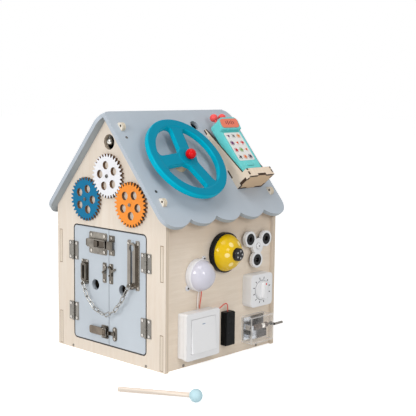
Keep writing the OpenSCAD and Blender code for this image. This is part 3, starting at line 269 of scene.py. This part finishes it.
def plywood(name, face, along, light, dark, edge, ply=0.0013):
    """Ply: grain stretched along one axis, layers where the face turns away."""
    mat, tree, shader = graph(name)
    stretch, squeeze = [9.0, 9.0, 9.0], [1.0, 1.0, 1.0]
    stretch[along], squeeze[face] = 0.7, 0.1 / ply
    grain = noise(tree, stretch, 14.0, 5.0, 0.62)
    fine = noise(tree, [s * 4 for s in stretch], 20.0, 2.0)
    cloud = noise(tree, (1, 1, 1), 5.0, 2.0)
    streak = grain * 0.6 + fine * 0.25 + cloud * 0.3
    wood = blend(ramp(streak, 0.42, 0.74), light, dark)
    layers = add(tree, "TexWave", Vector=object_place(tree, squeeze), Scale=1.0, Distortion=0.4, Detail=1.0)
    layers.bands_direction = "XYZ"[face]
    cut = blend(ramp(Field(layers.outputs["Fac"]), 0.25, 0.75), edge, toned(edge, 0.8))
    flat = ramp(facing(tree, face), 0.35, 0.65)
    fill(shader, Base_Color=blend(flat, cut, wood), Roughness=0.48, Specular_IOR_Level=0.2)
    bump(tree, shader, fine, 0.0002)
    return mat


def overlay(mat, mask, colour):
    """A second colour over a material's own where the mask is one."""
    coat = mat.node_tree.nodes["Principled BSDF"].inputs["Base Color"]
    feed(blend(mask, Field(coat.links[0].from_socket), colour), coat)


def dress(names, mat):
    """The material on the CAD pieces of those names."""
    for name in names.split():
        for held in node[name].material_slots:
            held.material = mat


gable = plywood("birch_gable", 1, 2, (0.81, 0.725, 0.63), (0.75, 0.645, 0.535), (0.74, 0.62, 0.49))
doorway_half, doorway_low, doorway_high = 0.103, 0.012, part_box("left_leaf")[1][2] + 0.003
x, y, z = axes_of(gable.node_tree)
cut_edge = facing(gable.node_tree, 1) < 0.5
overlay(gable, (abs(x) < doorway_half) & within(z, doorway_low, doorway_high) & cut_edge, (0.035, 0.022, 0.015))
dress("front_wall back_wall", gable)

side = plywood("birch_side", 0, 1, (0.87, 0.765, 0.645), (0.79, 0.675, 0.545), (0.8, 0.7, 0.58))
wall_low, wall_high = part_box("right_wall")
tab_ends, brown_line, brown_rim = (0.003, 0.068, 0.1635, 0.2285), 0.0009, 0.0007
x, y, z = axes_of(side.node_tree)
off_middle = abs(abs(x) - (wall_low[0] + wall_high[0]) / 2)
browned = off_middle > (wall_high[0] - wall_low[0]) / 2 - brown_rim
for end in tab_ends:
    browned = browned | (abs(z - end) < brown_line)
overlay(side, browned & (facing(side.node_tree, 1) > 0.5), (0.26, 0.16, 0.09))
# Painted shadow of the eave: the side walls turn darker and warmer towards their tops.
eave_shadow_low, eave_shadow_high, eave_shadow_share = wall_high[2] - 0.075, wall_high[2] - 0.004, 0.55
overlay(side, ramp(z, eave_shadow_low, eave_shadow_high) * eave_shadow_share, (0.45, 0.3, 0.19))
dress("left_wall right_wall", side)
dress("floor_panel", plywood("birch_floor", 2, 0, (0.82, 0.7, 0.54), (0.7, 0.55, 0.38), (0.6, 0.45, 0.28)))


# ---------------------------------------------------------------- painted panels
# Roof and doors: plywood with a satin grey-blue coat that lets a hint of
# the grain through. The scallops' undersides and the doors' side faces are painted darker as shade, and the doors'
# rims are darker still.
def paint(name, colour, edge=None, face=None, rough=0.42, mottle=0.06, grain=(6, 6, 6), shine=0.2, soften=None):
    """Paint with slow cloudy shifts and a fine orange peel. It may have an edge
    colour where it turns away from an axis, the face, and light that rolls
    round its edges within a radius, soften."""
    mat, tree, shader = graph(name)
    coat = blend(noise(tree, grain, 3.0, 3.0), toned(colour, 1 - mottle), toned(colour, 1 + mottle))
    if edge is not None:
        coat = blend(ramp(facing(tree, face), 0.45, 0.7), edge, coat)
    gloss = ramp_to(noise(tree, (1, 1, 1), 60.0, 2.0), rough - 0.06, rough + 0.08)
    fill(shader, Base_Color=coat, Roughness=gloss, Specular_IOR_Level=shine)
    peel = bump(tree, shader, noise(tree, (1, 1, 1), 900.0, 1.0), 0.00006, 0.35)
    if soften:
        rolled = add(tree, "Bevel", Radius=soften)
        rolled.samples = 6
        fill(peel, Normal=Field(rolled.outputs["Normal"]))
    return mat


def apart(a, b):
    """How far apart two points are whose offsets at right angles are a and b."""
    return (a * a + b * b) ** 0.5


roof_paint = paint("roof_paint", (0.455, 0.505, 0.56), rough=0.4, grain=(2, 6, 2))
# Faces that turn down, such as the scallops' undersides, are painted darker: painted shade.
turned_down = axes_of(roof_paint.node_tree, "Normal")[2] * -1.0
overlay(roof_paint, ramp(turned_down, 0.35, 0.6), (0.36, 0.4, 0.425))
dress("roof_left roof_right", roof_paint)

# The doors' side faces, in the finger holes and along the split, take a darker grey-blue: painted shade.
door = paint("door_paint", (0.545, 0.595, 0.645), (0.4, 0.44, 0.48), 1, rough=0.45, grain=(6, 6, 2))
door_low, door_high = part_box("left_leaf")
door_mid, door_half = (door_low[2] + door_high[2]) / 2, (door_high[2] - door_low[2]) / 2
corner, rim_width, rim_share = 0.0072, 0.001, 0.8
x, y, z = axes_of(door.node_tree)
across = (abs(x) - (-door_low[0] - corner)).at_least(0.0)
rise = (abs(z - door_mid) - (door_half - corner)).at_least(0.0)
overlay(door, (apart(across, rise) > corner - rim_width) * rim_share, (0.05, 0.045, 0.04))
dress("left_leaf right_leaf", door)

# ---------------------------------------------------------------- gears
# Laser-cut ply wheels painted on the face. The beam leaves the teeth and
# the holes brown.
burnt = (0.16, 0.09, 0.05)
for name, tint in (("white", (0.83, 0.83, 0.86)), ("blue", (0.01, 0.17, 0.33)), ("orange", (0.9, 0.3, 0.05))):
    dress(name + "_gear", paint("gear_" + name, tint, burnt, 1, shine=0.1))

# ---------------------------------------------------------------- fittings
# Nickel-plated sheet steel, screwed to the doors: hinges, bolt, keepers,
# toggle and chain track. Screw heads are brighter where they stand proud.
wall_front = float(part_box("front_wall")[0][1])
plate_top, head_top = 0.00145, 0.0022   # out from the wall's front


def turned_to(tree, way):
    """How far a surface turns to a direction of its object: -1 to 1."""
    made = tree.nodes.new("ShaderNodeVectorMath")
    made.operation = "DOT_PRODUCT"
    feed(Field(tree.nodes.new("ShaderNodeTexCoord").outputs["Normal"]), made.inputs[0])
    feed(Vector(way).normalized(), made.inputs[1])
    return Field(made.outputs["Value"])


def metal(name, dull, bright, rough, reflection_bands=None, heads=None):
    """Plated metal between a dull and a bright tone. Reflection bands run light
    and dark as a surface turns to one fixed direction: painted reflection.
    Flats that stand proud of the plates, the screw heads, have a colour of their own."""
    mat, tree, shader = graph(name)
    tone = ramp(noise(tree, (1, 1, 1), 55.0, 3.0), 0.3, 0.7)
    if reflection_bands:
        # Painted reflection: a sine of how far the surface turns to one direction.
        reflection_wave = (turned_to(tree, (0.5, -0.45, 0.75)) * reflection_bands).work("SINE")
        tone = tone * 0.35 + ramp(reflection_wave, -1.0, 1.0) * 0.65
    coat = blend(tone, dull, bright)
    if heads:
        proud = within(wall_front - axes_of(tree)[1], plate_top, head_top)
        coat = blend(proud & ramp(facing(tree, 1), 0.6, 0.95), coat, heads)
    rub = noise(tree, (3, 3, 40), 60.0, 3.0)
    fill(shader, Base_Color=coat, Metallic=1.0, Roughness=ramp_to(rub, rough - 0.06, rough + 0.12))
    bump(tree, shader, rub, 0.00004, 0.4)
    return mat


# Hinges, catches and the jingle bell carry painted reflection bands.
hinge = metal("hinge_nickel", (0.1, 0.095, 0.086), (0.26, 0.247, 0.225), 0.22, reflection_bands=4.0, heads=(0.75, 0.72, 0.68))
dress("hinge_frames left_hinge_leaves right_hinge_leaves", hinge)
latch = metal("latch_nickel", (0.1, 0.088, 0.075), (0.34, 0.31, 0.265), 0.2, reflection_bands=11.0, heads=(0.6, 0.56, 0.5))
dress("left_catches right_catches chain_button", latch)
dress("panel_screws", metal("screw_steel", (0.1, 0.09, 0.08), (0.4, 0.37, 0.33), 0.3))
dress("jingle_bell", metal("bell_nickel", (0.3, 0.29, 0.27), (0.85, 0.83, 0.78), 0.14, reflection_bands=7.0))

# The bolt runs in a folded guide, and is itself browned steel with painted reflection bands.
guide = metal("guide_nickel", (0.13, 0.118, 0.103), (0.3, 0.275, 0.24), 0.2, heads=(0.72, 0.68, 0.62))
dress("bolt_guide", guide)
dress("slide_bolt", metal("bolt_steel", (0.03, 0.024, 0.02), (0.13, 0.11, 0.09), 0.16, reflection_bands=5.0))

# The door chain's track is a pressed channel with rolled lips, whose light and
# dark come from painted reflection bands; the painted door shows pale at its bottom.
track = metal("track_nickel", (0.2, 0.18, 0.158), (0.36, 0.33, 0.29), 0.2, reflection_bands=8.0, heads=(0.72, 0.68, 0.62))
track_mid = (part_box("chain_track")[0][0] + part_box("chain_track")[1][0]) / 2
slot_half, slot_depth = 0.0062, 0.0014
x, y, z = axes_of(track.node_tree)
door_seen = within(x, track_mid - slot_half, track_mid + slot_half) & (wall_front - y < slot_depth)
overlay(track, door_seen, (0.5, 0.56, 0.62))
fill(track.node_tree.nodes["Principled BSDF"], Metallic=1.0 - door_seen, Specular_IOR_Level=0.2)
dress("chain_track", track)

# Toggle latch: a browned lever, and a wire bail of bright steel, both with painted reflection bands.
dress("toggle_lever", metal("lever_worn", (0.09, 0.07, 0.055), (0.3, 0.255, 0.205), 0.2, reflection_bands=8.0))
dress("toggle_bail horn_arm", metal("bail_nickel", (0.09, 0.077, 0.065), (0.55, 0.51, 0.455), 0.12, reflection_bands=13.0))

# Bright-plated wire links with painted reflection: light along the top of each wire, dark below.
links = metal("chain_wire", (0.05, 0.046, 0.042), (0.6, 0.585, 0.55), 0.14, reflection_bands=8.0)
dress("chain_left_1 chain_left_2 chain_left_3 chain_right_1 chain_right_2 chain_right_3", links)

# ---------------------------------------------------------------- steering wheel
# A thick painted wheel with rounded rims that turns on a wooden spacer, and
# a glossy red ball at its hub. Its rims are painted a lighter teal than its face: painted light.
SLOPE = math.radians(50)
wheel = paint("wheel_teal", (0.0, 0.255, 0.385), rough=0.2, mottle=0.04, shine=0.05, soften=0.0025)
# Painted light: faces that turn away from the wheel's axis, its rims and rounded edges, take a lighter teal.
squareness = abs(turned_to(wheel.node_tree, (math.sin(SLOPE), 0, math.cos(SLOPE))))
overlay(wheel, ramp(squareness, 0.97, 0.5), (0.0, 0.42, 0.58))
dress("steering_wheel", wheel)
dress("wheel_ball", paint("ball_red", (0.7, 0.002, 0.004), rough=0.06, mottle=0.02, shine=0.14))
spacer = plywood("turned_wood", 2, 0, (0.8, 0.64, 0.44), (0.66, 0.5, 0.32), (0.74, 0.58, 0.38), 0.004)
dress("wheel_post", spacer)

# ---------------------------------------------------------------- roof lugs
# Half-round ends of the end walls' tabs, which stand out of the roof. They
# are sanded pale, and a dark disc is painted at each pin hole: painted shade.
RIDGE = 0.466029
pins_down, pin_out, pin_r = (0.0451, 0.212), 0.004, 0.0021


def roof_places(tree):
    """Distance down the slope, along the ridge and out from the roof."""
    x, y, z = axes_of(tree)
    drop = RIDGE - z
    down = x * math.cos(SLOPE) + drop * math.sin(SLOPE)
    out = x * math.sin(SLOPE) - drop * math.cos(SLOPE)
    return down, y, out


lug = plywood("lug_wood", 1, 0, (0.84, 0.78, 0.68), (0.76, 0.68, 0.56), (0.74, 0.64, 0.5))
down, along, out = roof_places(lug.node_tree)
# Dark discs at the pin holes: painted shade.
high_hole_shade, low_hole_shade = [apart(down - pin, out - pin_out) < pin_r for pin in pins_down]
overlay(lug, high_hole_shade | low_hole_shade, (0.1, 0.06, 0.04))
dress("roof_discs", lug)

# ---------------------------------------------------------------- phone holder
# Laser-cut birch ply with finger joints, glued and fixed on the roof. The
# beam leaves the cut edges and the finger ends dark brown.
holder_near, holder_far = [float(end[1]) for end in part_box("phone_cradle")]
holder_top, holder_foot = 0.0605, 0.2
lip_top, lip_start, ply = 0.042, 0.182, 0.004
# A burnt end is drawn to the depth of skin, and a little past its own face.
skin, past, hair = 0.0006, 0.0002, 0.0001
third = (holder_far - holder_near) / 3


def both_sides(reach):
    """Spans along the ridge, each from one cheek's outer face inwards."""
    return (holder_near - past, holder_near + reach), (holder_far - reach, holder_far + past)


# Each burnt block is a span down the slope, one along the ridge and one out:
# first the lip's middle finger and the foot's edge on the roof, then fingers
# on the cheeks' outer faces, at the foot's outer thirds and at its corners.
foot_end, lip_face = (holder_foot - skin, holder_foot + past), (lip_top - skin, lip_top + past)
under = -0.001
charred = [((holder_foot - 0.005, holder_foot + past), (holder_near + third, holder_far - third), lip_face),
           (foot_end, (holder_near, holder_far), (under, 0.0008))]
for cheek in both_sides(skin):
    charred += [((holder_foot - 0.006, holder_foot + past), cheek, (0.011, 0.03)),
                ((0.158, 0.176), cheek, (under, 0.0032)), ((holder_top, 0.071), cheek, (under, 0.003))]
for finger in both_sides(third):
    charred += [(foot_end, finger, (lip_top - ply, lip_top + past)), (foot_end, finger, (under, ply))]
for post in both_sides(ply):
    charred += [(foot_end, post, (0.029, 0.036)), (foot_end, post, (0.003, 0.012)),
                ((lip_start - past, 0.1862), post, lip_face), ((0.189, 0.196), post, lip_face)]

holder, tree, shader = graph("holder_ply")
grain = noise(tree, (2, 14, 2), 14.0, 5.0, 0.6)
fill(shader, Base_Color=blend(ramp(grain, 0.35, 0.8), (0.86, 0.72, 0.58), (0.76, 0.61, 0.46)),
     Roughness=0.6, Specular_IOR_Level=0.2)
down, along, out = roof_places(tree)
# The end face at the foot is painted a darker, warmer brown: painted shade.
overlay(holder, down > holder_foot - skin / 2, (0.7, 0.5, 0.32))
in_cheek = abs(along - (holder_near + holder_far) / 2) > (holder_far - holder_near) / 2 - ply - past
sloped = in_cheek & (facing(tree, 1) < 0.5) & (down < lip_start)
burn = sloped | (within(down, lip_start - hair, lip_start + hair) & (out > lip_top - ply))
for spans in charred:
    on_slope, on_ridge, outwards = [within(field, *span) for field, span in zip((down, along, out), spans)]
    burn = burn | (on_slope & on_ridge & outwards)
soot = blend(noise(tree, (1, 1, 1), 120.0, 3.0), (0.02, 0.012, 0.008), (0.085, 0.045, 0.025))
overlay(holder, burn, soot)
bump(tree, shader, grain, 0.0002)
dress("phone_cradle", holder)

# ---------------------------------------------------------------- phone
# A moulded toy phone: turquoise body, coral head panel with a slotted
# earpiece, white keypad with a small coloured shape on each button.
shell = paint("phone_turquoise", (0.15, 0.66, 0.65), rough=0.25, mottle=0.03, shine=0.3, soften=0.002)
dress("phone_body", shell)
ear_end = 0.0595
coral = paint("phone_coral", (0.82, 0.21, 0.13), rough=0.3, mottle=0.03)
overlay(coral, roof_places(coral.node_tree)[0] < ear_end, (0.92, 0.1, 0.095))
dress("phone_trim", coral)
dress("phone_keys", paint("keypad_white", (0.8, 0.79, 0.765), rough=0.4, mottle=0.015, shine=0.1))

phone_l, phone_t, phone_mid, phone_lift, foot_gap = 0.136, 0.018, 0.094, 0.0126, 0.0044
head_l, head_run, neck_rise, head_rise = 0.025, 0.026, 0.0052, 0.0096
phone_top = holder_foot - foot_gap - phone_l
pad_l, pad_w, pad_gap, pad_depth, key_h = 0.0664, 0.0464, 0.005, 0.0012, 0.0017
pad_start = phone_top + head_l + pad_gap
key_out = phone_lift + phone_t - pad_depth + key_h
key_pitch, badge_r, badge_sunk, badge_h, badge_soft = 0.31, 0.0056, 0.0003, 0.0006, 0.3
badge_tints = [(0.13, 0.02, 0.1), (0.16, 0.17, 0.16), (0.75, 0.27, 0.06),
               (0.14, 0.03, 0.13), (0.7, 0.09, 0.015), (0.6, 0.02, 0.02),
               (0.5, 0.012, 0.02), (0.2, 0.36, 0.09), (0.7, 0.14, 0.05),
               (0.06, 0.05, 0.06), (0.75, 0.2, 0.06), (0.05, 0.02, 0.06)]


def on_roof(down, along, out):
    """Points given down the slope, along the ridge and out from the roof."""
    down, along, out = np.broadcast_arrays(*[np.asarray(q, float) for q in (down, along, out)])
    x = down * math.cos(SLOPE) + out * math.sin(SLOPE)
    z = RIDGE - down * math.sin(SLOPE) + out * math.cos(SLOPE)
    return x, along.copy(), z


def badges():
    """Small crowned shapes: on ring r and angle a, the reach is that of a
    regular polygon with soft corners, and the height falls off with r squared."""
    ring, angle = np.meshgrid(np.linspace(0.02, 1, 6), np.linspace(0, 2 * np.pi, 31), indexing="ij")
    for k, tint in enumerate(badge_tints):
        row, col = divmod(k, 3)
        sides = 3 + (k * 5) % 4
        flat = np.cos(np.pi / sides) / np.cos((angle + k) % (2 * np.pi / sides) - np.pi / sides)
        reach = badge_r * (badge_soft + (1 - badge_soft) * flat) * ring
        down = pad_start + pad_l * (row + 0.5) / 4 + reach * np.cos(angle)
        along = phone_mid + pad_w * (col - 1) * key_pitch + reach * np.sin(angle)
        out = key_out - badge_sunk + badge_h * (1 - ring ** 2)
        piece = sheet_mesh("key_badge_%d" % k, *on_roof(down, along, out))
        piece.data.materials.append(paint("badge_paint_%d" % k, tint, rough=0.5, mottle=0.1, shine=0.05))
        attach(piece, "phone")


slot_half_l, slot_half_w, slot_pitch, short_slot = 0.0042, 0.0011, 0.0052, 0.72
slot_mid, slot_lift, slot_h, panel_h = 0.0122, 0.00122, 0.00016, 0.0012


def earpiece():
    """Five dark slots across the head panel, painted shade where the earpiece
    is slotted: each a crowned strip that lies on the head's slope, its height
    falling off with the fourth power of its length and the square of its width."""
    s, w = np.meshgrid(np.linspace(-1, 1, 9), np.linspace(-1, 1, 5), indexing="ij")
    fall = math.atan((head_rise - neck_rise) / head_run)
    # The slots are dark strips standing in for the shade inside them: painted shade.
    ink = paint("slot_shade", (0.16, 0.02, 0.03), rough=0.4)
    for k in range(5):
        a = slot_mid + slot_half_l * s * (1.0 if k % 2 else short_slot)
        down = phone_top + a * math.cos(fall) + panel_h * math.sin(fall)
        along = phone_mid + slot_pitch * (k - 2) + slot_half_w * w
        lift = slot_lift + slot_h * (1 - s ** 4) * (1 - w ** 2)
        out = phone_lift + phone_t + head_rise - a * math.sin(fall) + lift * math.cos(fall)
        piece = sheet_mesh("ear_slot_%d" % k, *on_roof(down, along, out))
        piece.data.materials.append(ink)
        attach(piece, "phone")


badges()
earpiece()


# ---------------------------------------------------------------- bell and lamp
# A desk bell with a printed yellow dome and black knob on a black base, and
# a push lamp with a milky dome, screwed on by two ears of its white base.
def wall_spot(name):
    """The middle of a piece on the side wall: along it and up."""
    low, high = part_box(name)
    return (low[1] + high[1]) / 2, (low[2] + high[2]) / 2


def on_wall(tree, centre):
    """How far a surface's place lies along and up from a spot on the side wall."""
    x, y, z = axes_of(tree)
    return y - centre[0], z - centre[1]


def dome_print(name, base, motif, centre, petals, inner, outer):
    """Gloss paint with a ring of soft dashes round a centre on the side wall:
    a cosine round the ring times a tent across it, cut off at a level."""
    mat = paint(name, base, rough=0.08, mottle=0.03, shine=0.22)
    along, rise = on_wall(mat.node_tree, centre)
    beat = (rise.work("ARCTAN2", along) * petals).work("COSINE").at_least(0.0)
    off_ring = abs((apart(along, rise) - (inner + outer) / 2) / ((outer - inner) / 2))
    overlay(mat, ramp(beat * (1.0 - off_ring).at_least(0.0), 0.3, 0.42), motif)
    return mat


def ring_mask(mat, centre, inner, outer):
    """One between two radii round a centre on the side wall."""
    return within(apart(*on_wall(mat.node_tree, centre)), inner, outer)


bell_spot = wall_spot("bell_base")
dress("bell_base", paint("bell_black", (0.01, 0.01, 0.011), rough=0.2, shine=0.12))
dress("bell_dome", dome_print("bell_yellow", (0.76, 0.49, 0.004), (0.9, 0.72, 0.28), bell_spot,
                              petals=6, inner=0.015, outer=0.027))
dress("bell_knob", dome_print("knob_black", (0.012, 0.012, 0.014), (0.5, 0.5, 0.5), bell_spot,
                              petals=5, inner=0.004, outer=0.0095))

screw_spots, screw_r = ((-0.0488, 0.1944), (-0.0906, 0.1451)), 0.0021
lamp = paint("lamp_white", (0.74, 0.74, 0.765), rough=0.2, mottle=0.015, shine=0.3, soften=0.0015)
high_screw, low_screw = [ring_mask(lamp, spot, -1.0, screw_r) for spot in screw_spots]
overlay(lamp, high_screw | low_screw, (0.09, 0.08, 0.07))
dress("lamp_base", lamp)
dress("lamp_dome", paint("milky_dome", (0.6, 0.59, 0.67), rough=0.06, mottle=0.02, shine=0.4))


# ---------------------------------------------------------------- leads
# Thin plastic-covered wires from the lamp and the battery box to the switch.
# Each is held at both ends in a housing and bows a little between them.
def lead(name, points, tint):
    """A round 1.8 mm wire on one cubic curve: it starts at the first of four
    points towards the second, and comes from the third to end at the fourth."""
    start, leave, arrive, end = points
    line = bpy.data.curves.new(name, "CURVE")
    line.dimensions = "3D"
    line.resolution_u = line.render_resolution_u = 24
    line.bevel_depth, line.bevel_resolution = 0.0009, 4
    run = line.splines.new("BEZIER")
    run.bezier_points.add(1)
    first, last = run.bezier_points
    first.handle_left_type = first.handle_right_type = "FREE"
    last.handle_left_type = last.handle_right_type = "FREE"
    first.co, first.handle_left, first.handle_right = start, start, leave
    last.co, last.handle_left, last.handle_right = end, arrive, end
    piece = bpy.data.objects.new(name, line)
    bpy.context.scene.collection.objects.link(piece)
    line.materials.append(paint(name + "_cover", tint, rough=0.4))
    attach(piece, "house")
    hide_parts("lead_wires")


pale, red = (0.78, 0.75, 0.73), (0.7, 0.085, 0.06)
lead("lamp_lead_pale", ((0.149, -0.065, 0.1379), (0.148, -0.066, 0.128),
                        (0.147, -0.068, 0.114), (0.148, -0.066, 0.1042)), pale)
lead("lamp_lead_red", ((0.149, -0.059, 0.1391), (0.15, -0.057, 0.127),
                       (0.147, -0.061, 0.115), (0.148, -0.061, 0.1042)), red)
lead("battery_lead", ((0.15, -0.0291, 0.092), (0.15, -0.0072, 0.09),
                      (0.151, 0.014, 0.1212), (0.151, 0.012, 0.0873)), red)


# ---------------------------------------------------------------- switch, spinner and timer
# White moulded fittings screwed to the wall. The spinner turns on a capped
# screw and holds three black bearings.
def white_plastic(name):
    """Glossy white moulding with soft edges."""
    return paint(name, (0.82, 0.82, 0.83), rough=0.2, mottle=0.015, shine=0.3, soften=0.0015)


dress("switch_box switch_rocker", white_plastic("switch_white"))
dress("battery_box", paint("battery_black", (0.006, 0.0065, 0.007), rough=0.25, shine=0.08, soften=0.001))

dress("spinner", white_plastic("spinner_white"))
spin_spot, hub_hole_shade_r, cap_groove_shade = wall_spot("spinner_post"), 0.0016, (0.0056, 0.0062)
hub = white_plastic("hub_white")
# A dark disc at the hub's screw hole and a grey ring at the cap's groove: painted shade.
overlay(hub, ring_mask(hub, spin_spot, -1.0, hub_hole_shade_r), (0.07, 0.07, 0.07))
overlay(hub, ring_mask(hub, spin_spot, *cap_groove_shade), (0.45, 0.45, 0.46))
dress("spinner_post", hub)
dress("spinner_rings", paint("ring_black", (0.008, 0.008, 0.009), rough=0.22, shine=0.18))

dial_spot, knob_gap_shade = wall_spot("timer_case"), (0.0188, 0.0197)
dial = white_plastic("timer_white")
# A grey ring at the gap round the knob's base: painted shade.
overlay(dial, ring_mask(dial, dial_spot, *knob_gap_shade), (0.2, 0.21, 0.23))
dress("timer_case", dial)
dress("timer_knob", white_plastic("knob_white"))


# Printed marks: dial strokes, the timer's red pointer and the rocker's dash.
# The rocker is tilted, and its dash with it.
mark_h, mark_sunk = 0.00018, 0.00003
case_face, knob_face, rocker_face = 0.16603, 0.17742, 0.171117
rocker_spot, rocker_lean = wall_spot("switch_rocker"), math.tan(math.radians(5))
strokes, stroke_at, stroke_size = 12, 0.0235, (0.0046, 0.0019)
pointer_up, pointer_size, dash_up, dash_size = 0.0132, (0.004, 0.003), 0.0204, (0.0082, 0.0016)


def side_mark(name, centre, spin, size, out, mat, body, tilt=0.0):
    """A thin raised stroke on the side wall: a grid of half length and half
    width, turned by spin, its rims sunk so that the stroke is softly crowned.
    It leans by tilt about the middle of the rocker."""
    s, w = np.meshgrid(np.linspace(-1, 1, 9), np.linspace(-1, 1, 5), indexing="ij")
    crown = mark_h * (1 - s ** 4) * (1 - w ** 2) - mark_sunk
    a, b = s * size[0] / 2, w * size[1] / 2
    y = centre[0] + a * math.cos(spin) - b * math.sin(spin)
    z = centre[1] + a * math.sin(spin) + b * math.cos(spin)
    piece = sheet_mesh(name, out + crown - tilt * (z - rocker_spot[1]), y, z)
    piece.data.materials.append(mat)
    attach(piece, body)


ink = paint("dial_ink", (0.02, 0.02, 0.025), rough=0.5)
for k in range(strokes):
    spin = 2 * math.pi * (k + 0.5) / strokes
    at = (dial_spot[0] + stroke_at * math.cos(spin), dial_spot[1] + stroke_at * math.sin(spin))
    side_mark("dial_stroke_%d" % k, at, spin, stroke_size, case_face, ink, "house")
side_mark("dial_pointer", (dial_spot[0], dial_spot[1] + pointer_up), math.pi / 2, pointer_size, knob_face,
          paint("pointer_red", (0.75, 0.02, 0.02)), "timer_knob")
side_mark("rocker_dash", (rocker_spot[0], rocker_spot[1] + dash_up), 0.0, dash_size, rocker_face,
          paint("dash_grey", (0.12, 0.2, 0.33)), "switch_rocker", tilt=rocker_lean)

# ---------------------------------------------------------------- music box
# A clear moulded case over a small steel movement. The case shows mostly at
# its thicker rims.
clear, tree, shader = graph("clear_case")
case_wall = 0.0021
near_x, near_y, near_z = [(place - low).at_most(high - place) < case_wall
                          for place, low, high in zip(axes_of(tree), *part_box("music_case"))]
rims = near_x + near_y + near_z > 1.5
smear = noise(tree, (1, 1, 1), 40.0, 2.0)
fill(shader, Base_Color=blend(rims, (0.9, 0.9, 0.9), (0.97, 0.96, 0.95)), Roughness=0.05,
     Alpha=rims * 0.3 + smear * 0.12)
dress("music_case", clear)

# The frame is pale steel at one end. The drum's pale band down its middle is a painted highlight, and all the
# movement's steel carries painted reflection bands.
bright_end, drum_highlight_band = (0.086, 0.079), (0.096, 0.104)
works = metal("comb_steel", (0.035, 0.03, 0.027), (0.2, 0.18, 0.165), 0.2, reflection_bands=7.0)
overlay(works, ramp(axes_of(works.node_tree)[1], *bright_end), (0.5, 0.52, 0.55))
dress("music_frame", works)
drum = metal("drum_steel", (0.03, 0.02, 0.016), (0.2, 0.15, 0.12), 0.16, reflection_bands=9.0)
overlay(drum, within(axes_of(drum.node_tree)[1], *drum_highlight_band), (0.8, 0.77, 0.72))
dress("music_drum", drum)
dress("music_crank", metal("crank_steel", (0.03, 0.027, 0.024), (0.34, 0.315, 0.285), 0.2, reflection_bands=10.0))

# ---------------------------------------------------------------- mallet
# A turned birch stick pushed into a painted wooden ball. It lies loose on
# the ground in front of the house.
stick = plywood("stick_wood", 2, 0, (0.86, 0.76, 0.67), (0.79, 0.66, 0.55), (0.84, 0.74, 0.64), 0.004)
dress("mallet_stick", stick)
dress("mallet_ball", paint("ball_blue", (0.49, 0.69, 0.75), rough=0.4))
